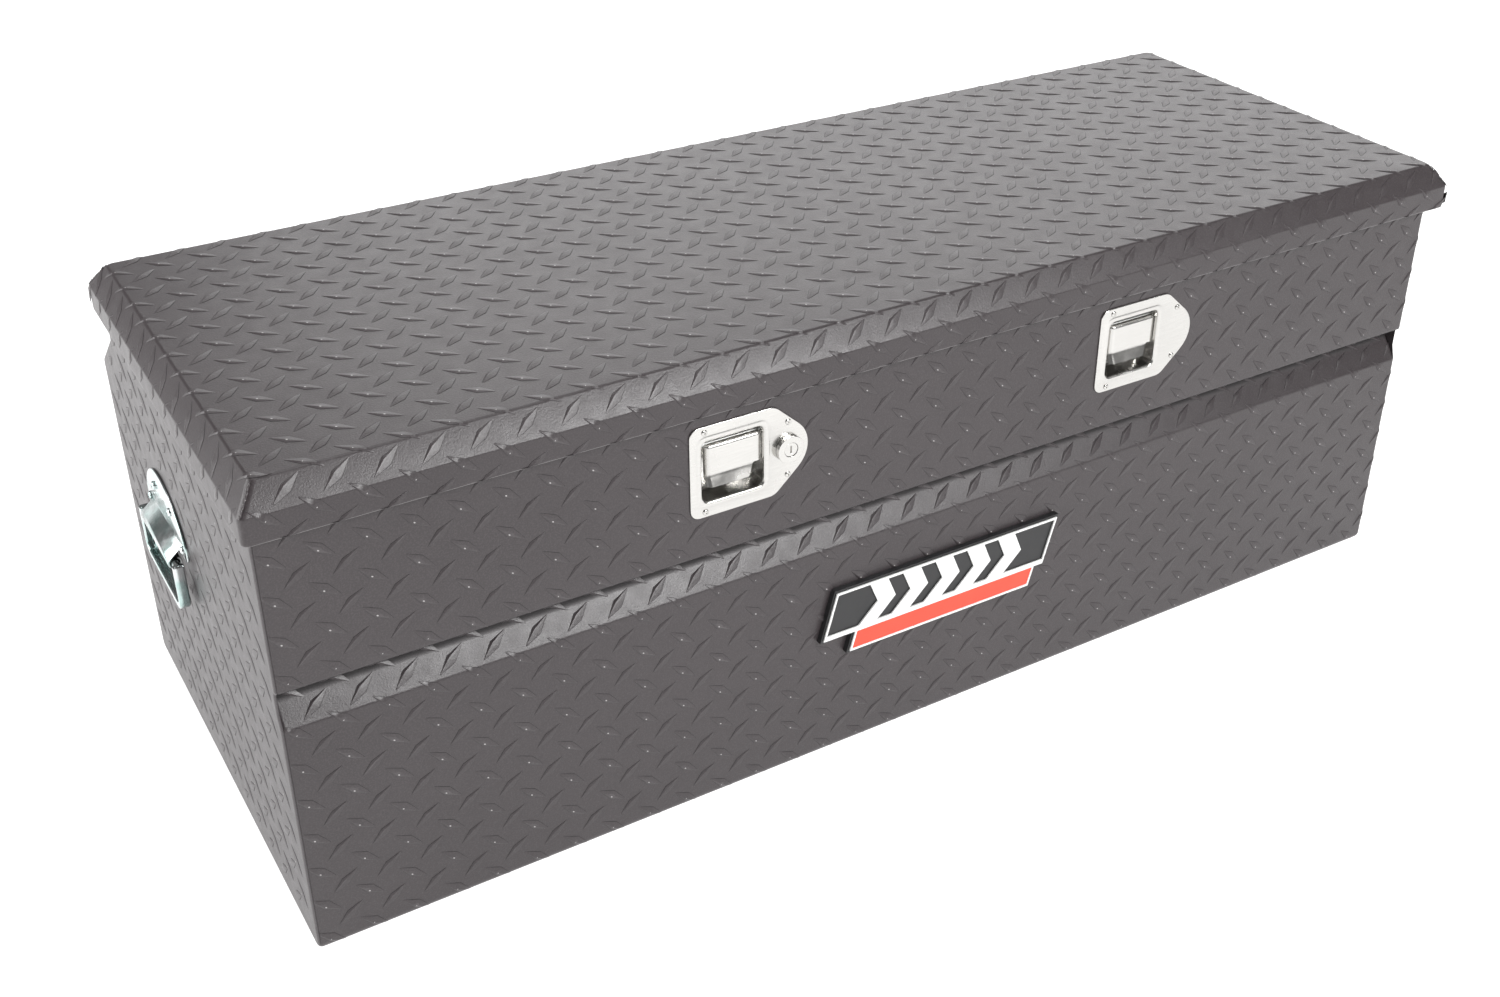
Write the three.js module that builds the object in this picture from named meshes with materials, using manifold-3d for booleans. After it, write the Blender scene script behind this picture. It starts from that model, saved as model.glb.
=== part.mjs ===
// Truck tool box: a tread-plate utility chest with a hinged lid, two paddle latches, two end handles
// and two gas struts. Millimetres, +Z up, X along the chest, front towards -Y, origin at the middle
// of the base.
import * as THREE from 'three';
import { mergeVertices } from 'three/addons/utils/BufferGeometryUtils.js';
import Module from 'manifold-3d';

const wasm = await Module();
wasm.setup();

// ---- driving dimensions ----
const SHEET = 2;                 // thickness of the tread plate
const GAP = 0.3;                 // clearance between pieces that touch
const OUTER_DEPTH = 587;         // lid front to body rear
const HEIGHT = 523;              // floor to lid top

const LID_LENGTH = 1420;
const LID_DEPTH = 523.5;
const BEVEL_RUN = 18;            // lid edge bevel, horizontal and vertical legs
const BEVEL_DROP = 24.5;
const SKIRT = 26.5;              // vertical skirt under the bevel

const BODY_LENGTH = 1402;
const BODY_FRONT_INSET = 18;     // body front face behind the lid front face
const WALL_TOP = 498;
const BASE_BEND = 10;            // outer radius of the bends into the floor
const FLOOR_FLANGE = 34;         // width of the flanges folded under the floor
const CREASE_BOTTOM = 265.5;     // front crease: lower edge, root and upper edge heights
const CREASE_ROOT = 300.5;
const CREASE_TOP = 306;
const CREASE_DEPTH = 26;
const CREASE_END_NOTCH = 5;      // how far the end panel steps back at the crease
const REAR_RECESS = 71.5;        // the upper rear wall stands this far in front of the rear face
const SHOULDER_TOP = 438;
const SHOULDER_BOTTOM = 384;

const RIM_WIDTH = 24;
const RIM_Z = 494;
const RIM_LIP = 10;
const SEAL_WIDTH = 9;
const SEAL_FOOT = 1;             // how far the seal overlaps the lip's sides downwards

const HINGE_Z = 465;
const KNUCKLE_R = 3.6;
const PIN_R = 1.8;
const KNUCKLE_BORE_R = 2.1;
const KNUCKLE_COUNT = 23;
const LEAF = 1.5;
const HINGE_LENGTH = 1360;

const LATCH_X = { left: -245, right: 253 };
const LATCH_Z = 402;
const PLATE_LEFT = 47;           // latch plate: recess centre to left edge
const PLATE_SHOULDER = 46;       // recess centre to the start of the pointed end
const PLATE_TIP = 85.5;
const PLATE_HALF_HEIGHT = 50;
const PLATE_CORNER = 10;
const PLATE_TIP_R = 30;
const PLATE_T = 1.6;
const RECESS_W = 71;
const RECESS_H = 69;
const RECESS_CORNER = 7;
const RECESS_DEPTH = 24;
const LOCK_X = 62;               // lock centre from the recess centre
const LOCK_R = 14.5;
const LOCK_BODY_R = 10;
const LOCK_PLUG_R = 7.5;

const PADDLE_PIVOT_Z = 24;       // paddle pivot above the recess centre
const PADDLE_PIVOT_Y = 9;        // and behind the front face
const PADDLE_W = 65;
const PADDLE_DROP = 41;          // paddle height below its pivot
const BOLT_TRAVEL = 10;
const BOLT_W = 30;
const BOLT_Z = 450;
const STRIKER_Y = -232;

const HANDLE_Y = 82;
const HANDLE_BARREL_Z = 274;
const HANDLE_BARREL_OUT = 11;    // barrel axis outside the end panel
const HANDLE_BARREL_R = 7;
const HANDLE_BARREL_HALF = 54;
const BAIL_HALF = 70;
const BAIL_DROP = 49;
const BAIL_ROD_R = 4;
const HANDLE_PLATE_T = 2.5;

const STRUT_X = 655;             // gas strut plane from the chest's middle
const STRUT_BODY = { y: 50, z: 245 };
const STRUT_LID = { y: 45, z: 500 };
const STRUT_TUBE_R = 9;
const STRUT_ROD_R = 4;
const STRUT_TUBE_LENGTH = 236;
const STRUT_ROD_INSIDE = 220;

// ---- derived places ----
const LID_FRONT = -OUTER_DEPTH / 2;
const LID_BACK = LID_FRONT + LID_DEPTH;
const BODY_FRONT = LID_FRONT + BODY_FRONT_INSET;
const BODY_BACK = OUTER_DEPTH / 2;
const UPRIGHT_BACK = BODY_BACK - REAR_RECESS;    // outer face of the upper rear wall
const END_X = BODY_LENGTH / 2;
const INNER_X = END_X - SHEET;                   // inner face of the end panels
const SKIRT_BOTTOM = HEIGHT - BEVEL_DROP - SKIRT;
const LID_UNDERSIDE = HEIGHT - SHEET;
const HINGE_Y = UPRIGHT_BACK + GAP + KNUCKLE_R;
const SIDES = ['left', 'right'];
const sideSign = (side) => (side === 'left' ? -1 : 1);

// ---- materials ----
const finish = (color, roughness, metalness) => ({ color, roughness, metalness });
const TREAD = finish(0x5c5a5c, 0.55, 0.2);
const STAINLESS = finish(0xc9c8c4, 0.3, 1);
const ZINC = finish(0xcfd6d8, 0.28, 1);
const STEEL = finish(0x8c8e90, 0.4, 1);
const DARK_STEEL = finish(0x2b2b2d, 0.45, 0.6);
const RUBBER = finish(0x17181a, 0.85, 0);
const WHITE_PLASTIC = finish(0xf0f0f0, 0.4, 0);
const BLACK_PLASTIC = finish(0x1b1b1c, 0.45, 0);
const RED_PLASTIC = finish(0xd63a22, 0.4, 0);

// ---- shape helpers ----
function toSolid(geometry) {
  const plain = geometry.clone();
  plain.deleteAttribute('normal');
  plain.deleteAttribute('uv');
  const merged = mergeVertices(plain, 1e-4);
  return new wasm.Manifold(new wasm.Mesh({
    numProp: 3,
    vertProperties: new Float32Array(merged.attributes.position.array),
    triVerts: new Uint32Array(merged.index.array),
  }));
}

function toGeometry(solid) {
  const mesh = solid.getMesh();
  const geometry = new THREE.BufferGeometry();
  geometry.setAttribute('position', new THREE.BufferAttribute(new Float32Array(mesh.vertProperties), 3));
  geometry.setIndex(new THREE.BufferAttribute(new Uint32Array(mesh.triVerts), 1));
  return geometry;
}

function join(...geometries) {
  return toGeometry(geometries.map(toSolid).reduce((sum, solid) => sum.add(solid)));
}

function cut(geometry, ...tools) {
  return toGeometry(tools.map(toSolid).reduce((rest, tool) => rest.subtract(tool), toSolid(geometry)));
}

function box(x0, x1, y0, y1, z0, z1) {
  const geometry = new THREE.BoxGeometry(x1 - x0, y1 - y0, z1 - z0);
  return geometry.translate((x0 + x1) / 2, (y0 + y1) / 2, (z0 + z1) / 2);
}

// A straight-sided ring: an outer box with its middle cut out from top to bottom.
function ring(halfX, y0, y1, z0, z1, width) {
  const past = 5;
  const outer = box(-halfX, halfX, y0, y1, z0, z1);
  const hole = box(-halfX + width, halfX - width, y0 + width, y1 - width, z0 - past, z1 + past);
  return cut(outer, hole);
}

function toShape(points) {
  return new THREE.Shape(points.map(([a, b]) => new THREE.Vector2(a, b)));
}

// A closed outline in (y, z), extruded along X.
function extrudeX(points, x0, x1) {
  const geometry = new THREE.ExtrudeGeometry(toShape(points), { depth: x1 - x0, bevelEnabled: false });
  const turn = new THREE.Matrix4().makeBasis(
    new THREE.Vector3(0, 1, 0), new THREE.Vector3(0, 0, 1), new THREE.Vector3(1, 0, 0));
  return geometry.applyMatrix4(turn).translate(x0, 0, 0);
}

// A closed shape in (x, z), extruded along Y from y0 to y1.
function extrudeY(shape, y0, y1, curveSegments = 6) {
  const options = { depth: y1 - y0, bevelEnabled: false, curveSegments };
  return new THREE.ExtrudeGeometry(shape, options).rotateX(Math.PI / 2).translate(0, y1, 0);
}

const cylinderZ = (r, z0, z1, x, y, sides = 16) =>
  new THREE.CylinderGeometry(r, r, z1 - z0, sides).rotateX(Math.PI / 2).translate(x, y, (z0 + z1) / 2);
const cylinderY = (r, y0, y1, x, z, sides = 16) =>
  new THREE.CylinderGeometry(r, r, y1 - y0, sides).translate(x, (y0 + y1) / 2, z);
const cylinderX = (r, x0, x1, y, z, sides = 16) =>
  new THREE.CylinderGeometry(r, r, x1 - x0, sides).rotateZ(Math.PI / 2).translate((x0 + x1) / 2, y, z);

// An open path of [a, b, radius] points with its corners rounded by short arcs.
function roundedPath(corners, steps = 4) {
  const path = [];
  corners.forEach(([a, b, radius = 0], i) => {
    const before = corners[i - 1];
    const after = corners[i + 1];
    if (!radius || !before || !after) {
      path.push([a, b]);
      return;
    }
    const inward = new THREE.Vector2(before[0] - a, before[1] - b).normalize();
    const onward = new THREE.Vector2(after[0] - a, after[1] - b).normalize();
    const half = Math.acos(inward.dot(onward)) / 2;
    const middle = inward.clone().add(onward).normalize().multiplyScalar(radius / Math.sin(half));
    const start = inward.multiplyScalar(radius / Math.tan(half)).sub(middle);
    const end = onward.multiplyScalar(radius / Math.tan(half)).sub(middle);
    const sweep = Math.atan2(start.cross(end), start.dot(end));
    for (let k = 0; k <= steps; k += 1) {
      const spoke = start.clone().rotateAround(new THREE.Vector2(), (sweep * k) / steps);
      path.push([a + middle.x + spoke.x, b + middle.y + spoke.y]);
    }
  });
  return path;
}

// The outline of a bent sheet: the outer path, and the same path moved to its left by the thickness.
function sheetOutline(path, thickness) {
  const normals = path.slice(1).map(([a, b], i) =>
    new THREE.Vector2(path[i][1] - b, a - path[i][0]).normalize());
  const inner = path.map(([a, b], i) => {
    const first = normals[Math.max(i - 1, 0)];
    const second = normals[Math.min(i, normals.length - 1)];
    const mitre = first.clone().add(second).normalize();
    const reach = thickness / mitre.dot(first);
    return [a + mitre.x * reach, b + mitre.y * reach];
  });
  return path.concat(inner.reverse());
}

const root = new THREE.Group();
root.name = 'truck_tool_box';

function addPart(name, geometry, look) {
  const mesh = new THREE.Mesh(geometry, new THREE.MeshStandardMaterial(look));
  mesh.name = name;
  root.add(mesh);
}

// ---- body panels ----
// Front sheet from its floor flange, round the base bend and up over the crease.
function frontPanel() {
  const path = roundedPath([
    [BODY_FRONT + FLOOR_FLANGE, 0],
    [BODY_FRONT, 0, BASE_BEND],
    [BODY_FRONT, CREASE_BOTTOM, 6],
    [BODY_FRONT + CREASE_DEPTH, CREASE_ROOT, 3],
    [BODY_FRONT, CREASE_TOP, 4],
    [BODY_FRONT, WALL_TOP],
  ]).reverse();
  let panel = extrudeX(sheetOutline(path, SHEET), -INNER_X + GAP, INNER_X - GAP);
  for (const side of SIDES) {
    const x = LATCH_X[side];
    const half = { w: RECESS_W / 2 + GAP, h: RECESS_H / 2 + GAP };
    const past = 10;
    panel = cut(panel, box(x - half.w, x + half.w, BODY_FRONT - past, BODY_FRONT + past,
      LATCH_Z - half.h, LATCH_Z + half.h));
    if (side === 'left') {
      panel = cut(panel,
        cylinderY(LOCK_BODY_R + GAP, BODY_FRONT - past, BODY_FRONT + past, x + LOCK_X, LATCH_Z));
    }
  }
  return panel;
}

// Rear sheet from its floor flange, up the rear face, over the shoulder and up to the rim.
function rearPanel() {
  const path = roundedPath([
    [BODY_BACK - FLOOR_FLANGE, 0],
    [BODY_BACK, 0, BASE_BEND],
    [BODY_BACK, SHOULDER_BOTTOM, 8],
    [UPRIGHT_BACK, SHOULDER_TOP, 4],
    [UPRIGHT_BACK, WALL_TOP],
  ]);
  return extrudeX(sheetOutline(path, SHEET), -INNER_X + GAP, INNER_X - GAP);
}

function endPanel(side) {
  const front = roundedPath([
    [BODY_FRONT + BASE_BEND * 2, 0],
    [BODY_FRONT, 0, BASE_BEND],
    [BODY_FRONT, CREASE_BOTTOM],
    [BODY_FRONT + CREASE_END_NOTCH, (CREASE_BOTTOM + CREASE_ROOT) / 2],
    [BODY_FRONT + CREASE_END_NOTCH, (CREASE_ROOT + CREASE_TOP) / 2],
    [BODY_FRONT, CREASE_TOP],
    [BODY_FRONT, WALL_TOP],
  ]);
  const rear = roundedPath([
    [UPRIGHT_BACK, WALL_TOP],
    [UPRIGHT_BACK, SHOULDER_TOP, 4],
    [BODY_BACK, SHOULDER_BOTTOM, 12],
    [BODY_BACK, 0, BASE_BEND],
    [BODY_BACK - BASE_BEND * 2, 0],
  ]);
  const x = sideSign(side) * (END_X - SHEET / 2);
  return extrudeX(front.concat(rear).reverse(), x - SHEET / 2, x + SHEET / 2);
}

function floorPanel() {
  const inset = FLOOR_FLANGE + GAP;
  return box(-INNER_X + GAP, INNER_X - GAP, BODY_FRONT + inset, BODY_BACK - inset, 0, SHEET);
}

// Angle frame inside the mouth: a flat ring with an upstanding lip on its inner edge.
const RIM_FRONT = BODY_FRONT + SHEET + GAP;
const RIM_BACK = UPRIGHT_BACK - SHEET - GAP;
const RIM_HALF = INNER_X - GAP;
const LIP_IN = RIM_WIDTH - SHEET;

function rimFrame() {
  const flat = ring(RIM_HALF, RIM_FRONT, RIM_BACK, RIM_Z, RIM_Z + SHEET, RIM_WIDTH);
  const lip = ring(RIM_HALF - LIP_IN, RIM_FRONT + LIP_IN, RIM_BACK - LIP_IN,
    RIM_Z, RIM_Z + SHEET + RIM_LIP, SHEET);
  return join(flat, lip);
}

// Rubber section that grips the lip and reaches up to the lid.
function rimSeal() {
  const outward = (SEAL_WIDTH - SHEET) / 2;
  const foot = RIM_Z + SHEET + GAP + SEAL_FOOT;
  const body = ring(RIM_HALF - LIP_IN + outward, RIM_FRONT + LIP_IN - outward, RIM_BACK - LIP_IN + outward,
    foot, LID_UNDERSIDE - GAP, SEAL_WIDTH);
  const slot = ring(RIM_HALF - LIP_IN + GAP, RIM_FRONT + LIP_IN - GAP, RIM_BACK - LIP_IN + GAP,
    foot - SEAL_FOOT, RIM_Z + SHEET + RIM_LIP + GAP, SHEET + 2 * GAP);
  return cut(body, slot);
}

addPart('front_panel', frontPanel(), TREAD);
addPart('rear_panel', rearPanel(), TREAD);
for (const side of SIDES) addPart(`${side}_end_panel`, endPanel(side), TREAD);
addPart('floor_panel', floorPanel(), TREAD);
addPart('rim_frame', rimFrame(), TREAD);
addPart('rim_seal', rimSeal(), RUBBER);

// ---- lid ----
// A tray turned over: one eight-sided step per bevel, hollowed by the same shape one sheet smaller.
function trayBlock(halfX, y0, y1, top, bottom, run, drop) {
  const low = (inset, z) => [
    [-halfX + inset, y0 + inset, z], [halfX - inset, y0 + inset, z],
    [halfX - inset, y1 - inset, z], [-halfX + inset, y1 - inset, z],
  ];
  const layers = [low(0, bottom), low(0, top - drop), low(run, top)];
  const positions = layers.flat(2);
  const faces = [0, 2, 1, 0, 3, 2];
  for (let layer = 0; layer < layers.length - 1; layer += 1) {
    for (let k = 0; k < 4; k += 1) {
      const a = layer * 4 + k;
      const b = layer * 4 + ((k + 1) % 4);
      faces.push(a, b, b + 4, a, b + 4, a + 4);
    }
  }
  faces.push(8, 9, 10, 8, 10, 11);
  const geometry = new THREE.BufferGeometry();
  geometry.setAttribute('position', new THREE.Float32BufferAttribute(positions, 3));
  geometry.setIndex(faces);
  return geometry;
}

function lidShell() {
  const past = 5;
  const slope = Math.hypot(BEVEL_RUN, BEVEL_DROP);
  const outer = trayBlock(
    LID_LENGTH / 2, LID_FRONT, LID_BACK, HEIGHT, SKIRT_BOTTOM, BEVEL_RUN, BEVEL_DROP);
  // moving the sloping face in by one sheet shortens the bevel's legs by this much
  const innerDrop = BEVEL_DROP + SHEET * (slope - BEVEL_DROP) / BEVEL_RUN - SHEET;
  const innerRun = innerDrop * BEVEL_RUN / BEVEL_DROP;
  const inner = trayBlock(LID_LENGTH / 2 - SHEET, LID_FRONT + SHEET, LID_BACK - SHEET,
    LID_UNDERSIDE, SKIRT_BOTTOM - past, innerRun, innerDrop);
  return cut(outer, inner);
}

// Hat-section channel that stiffens the middle of the lid.
function lidStiffener() {
  const top = LID_UNDERSIDE - GAP;
  const half = 52;
  const web = 26;
  const depth = 14;
  const path = [
    [half, top - SHEET], [web, top - SHEET], [web - 6, top - depth],
    [-web + 6, top - depth], [-web, top - SHEET], [-half, top - SHEET],
  ];
  return extrudeX(sheetOutline(path.map(([y, z]) => [y - 30, z]), 1.6), -620, 620);
}

addPart('lid_shell', lidShell(), TREAD);
addPart('lid_stiffener', lidStiffener(), TREAD);

// ---- hinge ----
// Alternate knuckles: the even ones belong to the body leaf and the odd ones to the lid leaf.
function hingeLeaf(firstKnuckle, z0, z1, y0) {
  const pitch = HINGE_LENGTH / KNUCKLE_COUNT;
  const start = -HINGE_LENGTH / 2;
  const clearance = 0.4;
  let leaf = box(start, -start, y0, y0 + LEAF, z0, z1);
  const knuckles = [];
  for (let k = 0; k < KNUCKLE_COUNT; k += 1) {
    const x0 = start + k * pitch + clearance;
    const x1 = start + (k + 1) * pitch - clearance;
    if (k % 2 === firstKnuckle) {
      knuckles.push(cylinderX(KNUCKLE_R, x0, x1, HINGE_Y, HINGE_Z, 12));
    } else {
      const room = KNUCKLE_R + 2 * clearance;
      leaf = cut(leaf, box(x0 - 2 * clearance, x1 + 2 * clearance, y0 - 1, y0 + LEAF + 1,
        HINGE_Z - room, HINGE_Z + room));
    }
  }
  const bore = cylinderX(KNUCKLE_BORE_R, start - 1, -start + 1, HINGE_Y, HINGE_Z, 12);
  return cut(join(leaf, ...knuckles), bore);
}

const BODY_LEAF_Y = UPRIGHT_BACK + GAP;
const LID_LEAF_Y = LID_BACK - SHEET - GAP - LEAF;
addPart('hinge_body_leaf', hingeLeaf(0, SHOULDER_TOP + 8, HINGE_Z, BODY_LEAF_Y), STEEL);
addPart('hinge_lid_leaf', hingeLeaf(1, HINGE_Z, HINGE_Z + 27, LID_LEAF_Y), STEEL);
addPart('hinge_pin', cylinderX(PIN_R, -HINGE_LENGTH / 2, HINGE_LENGTH / 2, HINGE_Y, HINGE_Z, 10), STEEL);

// ---- latches ----
// Plate outline in (x, z) about the recess centre: square on one side, a rounded point on the other.
function platePath(grow, path) {
  const left = -PLATE_LEFT - grow;
  const high = PLATE_HALF_HEIGHT + grow;
  const corner = PLATE_CORNER;
  const climb = PLATE_HALF_HEIGHT - PLATE_TIP_R * 0.8;
  const rise = Math.atan2(climb, PLATE_TIP - PLATE_SHOULDER - PLATE_TIP_R * 0.6);
  const tipX = PLATE_TIP + grow - PLATE_TIP_R;
  path.moveTo(left + corner, -high);
  path.lineTo(PLATE_SHOULDER, -high);
  path.absarc(tipX, 0, PLATE_TIP_R, -Math.PI / 2 + rise, Math.PI / 2 - rise, false);
  path.lineTo(PLATE_SHOULDER, high);
  path.lineTo(left + corner, high);
  path.absarc(left + corner, high - corner, corner, Math.PI / 2, Math.PI, false);
  path.lineTo(left, -high + corner);
  path.absarc(left + corner, -high + corner, corner, Math.PI, Math.PI * 1.5, false);
  return path;
}

function roundedRect(halfW, halfH, r) {
  const shape = new THREE.Shape();
  shape.moveTo(-halfW + r, -halfH);
  shape.lineTo(halfW - r, -halfH);
  shape.absarc(halfW - r, -halfH + r, r, -Math.PI / 2, 0, false);
  shape.lineTo(halfW, halfH - r);
  shape.absarc(halfW - r, halfH - r, r, 0, Math.PI / 2, false);
  shape.lineTo(-halfW + r, halfH);
  shape.absarc(-halfW + r, halfH - r, r, Math.PI / 2, Math.PI, false);
  shape.lineTo(-halfW, -halfH + r);
  shape.absarc(-halfW + r, -halfH + r, r, Math.PI, Math.PI * 1.5, false);
  return shape;
}

const DISH_WALL = 1.6;
const RIVET_R = 3.4;
const LATCH_RIVETS = [[-31, 43.5], [-31, -44], [61, 29.5], [61, -29.5]];
const PLATE_FRONT = BODY_FRONT - GAP - PLATE_T;
const PIVOT_Y = BODY_FRONT + PADDLE_PIVOT_Y;
const PIVOT_Z = LATCH_Z + PADDLE_PIVOT_Z;

function latchDish(side) {
  const x = LATCH_X[side];
  const place = (geometry) => geometry.translate(x, 0, LATCH_Z);
  const plate = place(extrudeY(platePath(0, new THREE.Shape()), PLATE_FRONT, BODY_FRONT - GAP));
  const well = place(extrudeY(roundedRect(RECESS_W / 2, RECESS_H / 2, RECESS_CORNER),
    BODY_FRONT - GAP - PLATE_T / 2, BODY_FRONT + RECESS_DEPTH, 3));
  const hollow = place(extrudeY(
    roundedRect(RECESS_W / 2 - DISH_WALL, RECESS_H / 2 - DISH_WALL, RECESS_CORNER - DISH_WALL),
    PLATE_FRONT - 1, BODY_FRONT + RECESS_DEPTH - DISH_WALL, 3));
  const pinHole = cylinderX(2.5, x - RECESS_W, x + RECESS_W, PIVOT_Y, PIVOT_Z, 12);
  const tools = [hollow, pinHole];
  if (side === 'left') {
    tools.push(cylinderY(LOCK_BODY_R + GAP, PLATE_FRONT - 1, BODY_FRONT, x + LOCK_X, LATCH_Z));
  }
  for (const [dx, dz] of LATCH_RIVETS) {
    tools.push(cylinderY(2 + GAP, PLATE_FRONT - 1, BODY_FRONT, x + dx, LATCH_Z + dz, 8));
  }
  return cut(join(plate, well), ...tools);
}

// Curved pull plate: it hangs from its pivot and flares out at its lower edge.
function paddle(side) {
  const x = LATCH_X[side];
  const z = PIVOT_Z;
  const path = roundedPath([
    [PIVOT_Y + 3, z + 4],
    [BODY_FRONT + 2, z + 4, 4],
    [BODY_FRONT + 2, z - PADDLE_DROP + 10, 8],
    [BODY_FRONT - 4, z - PADDLE_DROP],
  ]).reverse();
  const blade = extrudeX(sheetOutline(path.reverse(), 1.6), x - PADDLE_W / 2, x + PADDLE_W / 2);
  const ears = [-1, 1].map((end) => {
    const edge = x + end * (PADDLE_W / 2 - 1);
    return box(edge - 1, edge + 1, BODY_FRONT + 3, PIVOT_Y + 4, z - 4, z + 3.5);
  });
  const bore = cylinderX(2.5, x - PADDLE_W, x + PADDLE_W, PIVOT_Y, z, 12);
  return cut(join(blade, ...ears), bore);
}

// Box behind the dish that guides the bolt.
const CASE_BOTTOM = LATCH_Z + RECESS_H / 2 + 2;
const CASE_BACK = STRIKER_Y - 5;
const BOLT_TIP = STRIKER_Y - 2;

function latchCase(side) {
  const x = LATCH_X[side];
  const outer = box(x - 26, x + 26, BODY_FRONT + SHEET + GAP, CASE_BACK, CASE_BOTTOM, BOLT_Z + 12);
  const guide = box(x - BOLT_W / 2 - GAP, x + BOLT_W / 2 + GAP, BODY_FRONT + SHEET + 4, CASE_BACK + 1,
    BOLT_Z - 6 - GAP, BOLT_Z + 6 + GAP);
  return cut(outer, guide);
}

// Sliding bolt with a sloping nose, so that the striker can push it back as the lid comes down.
function latchBolt(side) {
  const tail = BODY_FRONT + SHEET + 6 + BOLT_TRAVEL;
  const outline = [
    [tail, BOLT_Z - 6], [BOLT_TIP, BOLT_Z - 6], [BOLT_TIP, BOLT_Z - 3],
    [BOLT_TIP - 7, BOLT_Z + 6], [tail, BOLT_Z + 6],
  ];
  const x = LATCH_X[side];
  return extrudeX(outline, x - BOLT_W / 2, x + BOLT_W / 2);
}

// Bracket that hangs from the lid and carries the keeper plate in front of the bolt.
function striker(side) {
  const x = LATCH_X[side];
  const half = 22;
  const top = LID_UNDERSIDE - GAP;
  const hanger = box(x - half, x + half, STRIKER_Y, STRIKER_Y + 3, BOLT_Z - 20, top);
  const foot = box(x - half, x + half, STRIKER_Y, STRIKER_Y + 34, top - 3, top);
  const reach = BOLT_W / 2 + 2;
  const window = box(x - reach, x + reach, STRIKER_Y - 1, STRIKER_Y + 4, BOLT_Z - 9, BOLT_Z + 9);
  return cut(join(hanger, foot), window);
}

function rivetY(x, z, face) {
  const profile = [[0, 0], [RIVET_R, 0], [RIVET_R * 0.8, 1], [RIVET_R * 0.4, 1.6], [0, 1.8]];
  const head = new THREE.LatheGeometry(profile.map(([r, h]) => new THREE.Vector2(r, h)), 10);
  return head.rotateX(Math.PI).translate(x, face - GAP, z);
}

for (const side of SIDES) {
  const x = LATCH_X[side];
  addPart(`latch_dish_${side}`, latchDish(side), STAINLESS);
  addPart(`paddle_${side}`, paddle(side), STAINLESS);
  addPart(`paddle_pin_${side}`,
    cylinderX(2.2, x - RECESS_W / 2 - 1, x + RECESS_W / 2 + 1, PIVOT_Y, PIVOT_Z, 12), STEEL);
  addPart(`latch_case_${side}`, latchCase(side), STEEL);
  addPart(`latch_bolt_${side}`, latchBolt(side), STEEL);
  addPart(`striker_${side}`, striker(side), STEEL);
  LATCH_RIVETS.forEach(([dx, dz], i) => {
    addPart(`latch_rivet_${side}_${i + 1}`, rivetY(x + dx, LATCH_Z + dz, PLATE_FRONT), STAINLESS);
  });
}

// ---- key lock on the left latch ----
const LOCK_CENTRE = LATCH_X.left + LOCK_X;
const LOCK_FACE = PLATE_FRONT - 5;
const LOCK_BACK = BODY_FRONT + 22;

function lockHousing() {
  const flange = cylinderY(LOCK_R, LOCK_FACE, PLATE_FRONT - GAP, LOCK_CENTRE, LATCH_Z, 24);
  const barrel = cylinderY(LOCK_BODY_R, LOCK_FACE + 1, LOCK_BACK, LOCK_CENTRE, LATCH_Z, 24);
  const bore = cylinderY(LOCK_PLUG_R + GAP, LOCK_FACE - 1, LOCK_BACK + 1, LOCK_CENTRE, LATCH_Z, 24);
  return cut(join(flange, barrel), bore);
}

function lockPlug() {
  const plug = cylinderY(LOCK_PLUG_R, LOCK_FACE + 0.6, LOCK_BACK + 4, LOCK_CENTRE, LATCH_Z, 24);
  const keyway = box(
    LOCK_CENTRE - 0.8, LOCK_CENTRE + 0.8, LOCK_FACE, LOCK_FACE + 5, LATCH_Z - 4, LATCH_Z + 4);
  return cut(plug, keyway);
}

function lockCam() {
  const [near, far] = [LOCK_BACK + 4 + GAP, LOCK_BACK + 7];
  const hub = cylinderY(7, near, far, LOCK_CENTRE, LATCH_Z, 16);
  const arm = box(LOCK_CENTRE - 5, LOCK_CENTRE + 5, near, far, LATCH_Z, LATCH_Z + 26);
  return join(hub, arm);
}

addPart('lock_housing', lockHousing(), STAINLESS);
addPart('lock_plug', lockPlug(), STAINLESS);
addPart('lock_cam', lockCam(), STEEL);

// ---- end handles ----
// Base plate outline in (y, z): a round arch over short upright sides, its foot narrowed to the barrel.
const HANDLE_RIVETS = [[-30, 44], [30, 44], [-61, 16], [61, 16]];
const HANDLE_HALF = 74;
const HANDLE_TOP = 69;
const HANDLE_SHOULDER = 24;      // where the arch starts, above the barrel axis
const HANDLE_FOOT = 8;
const TONGUE_TOP = 30;           // fold where the middle of the plate turns outwards to the barrel

function handlePlateOutline() {
  const rise = HANDLE_TOP - HANDLE_SHOULDER;
  const radius = (HANDLE_HALF ** 2 + rise ** 2) / (2 * rise);
  const centre = HANDLE_TOP - radius;
  const reach = Math.asin(HANDLE_HALF / radius);
  const steps = 24;
  const outline = [];
  for (let k = 0; k <= steps; k += 1) {
    const angle = Math.PI / 2 - reach + (2 * reach * k) / steps;
    outline.push([radius * Math.cos(angle), centre + radius * Math.sin(angle)]);
  }
  outline.push([-HANDLE_HALF, HANDLE_FOOT], [-HANDLE_BARREL_HALF, HANDLE_FOOT], [-HANDLE_BARREL_HALF, -8],
    [HANDLE_BARREL_HALF, -8], [HANDLE_BARREL_HALF, HANDLE_FOOT], [HANDLE_HALF, HANDLE_FOOT]);
  return outline.map(([y, z]) => [y + HANDLE_Y, z + HANDLE_BARREL_Z]);
}

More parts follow.
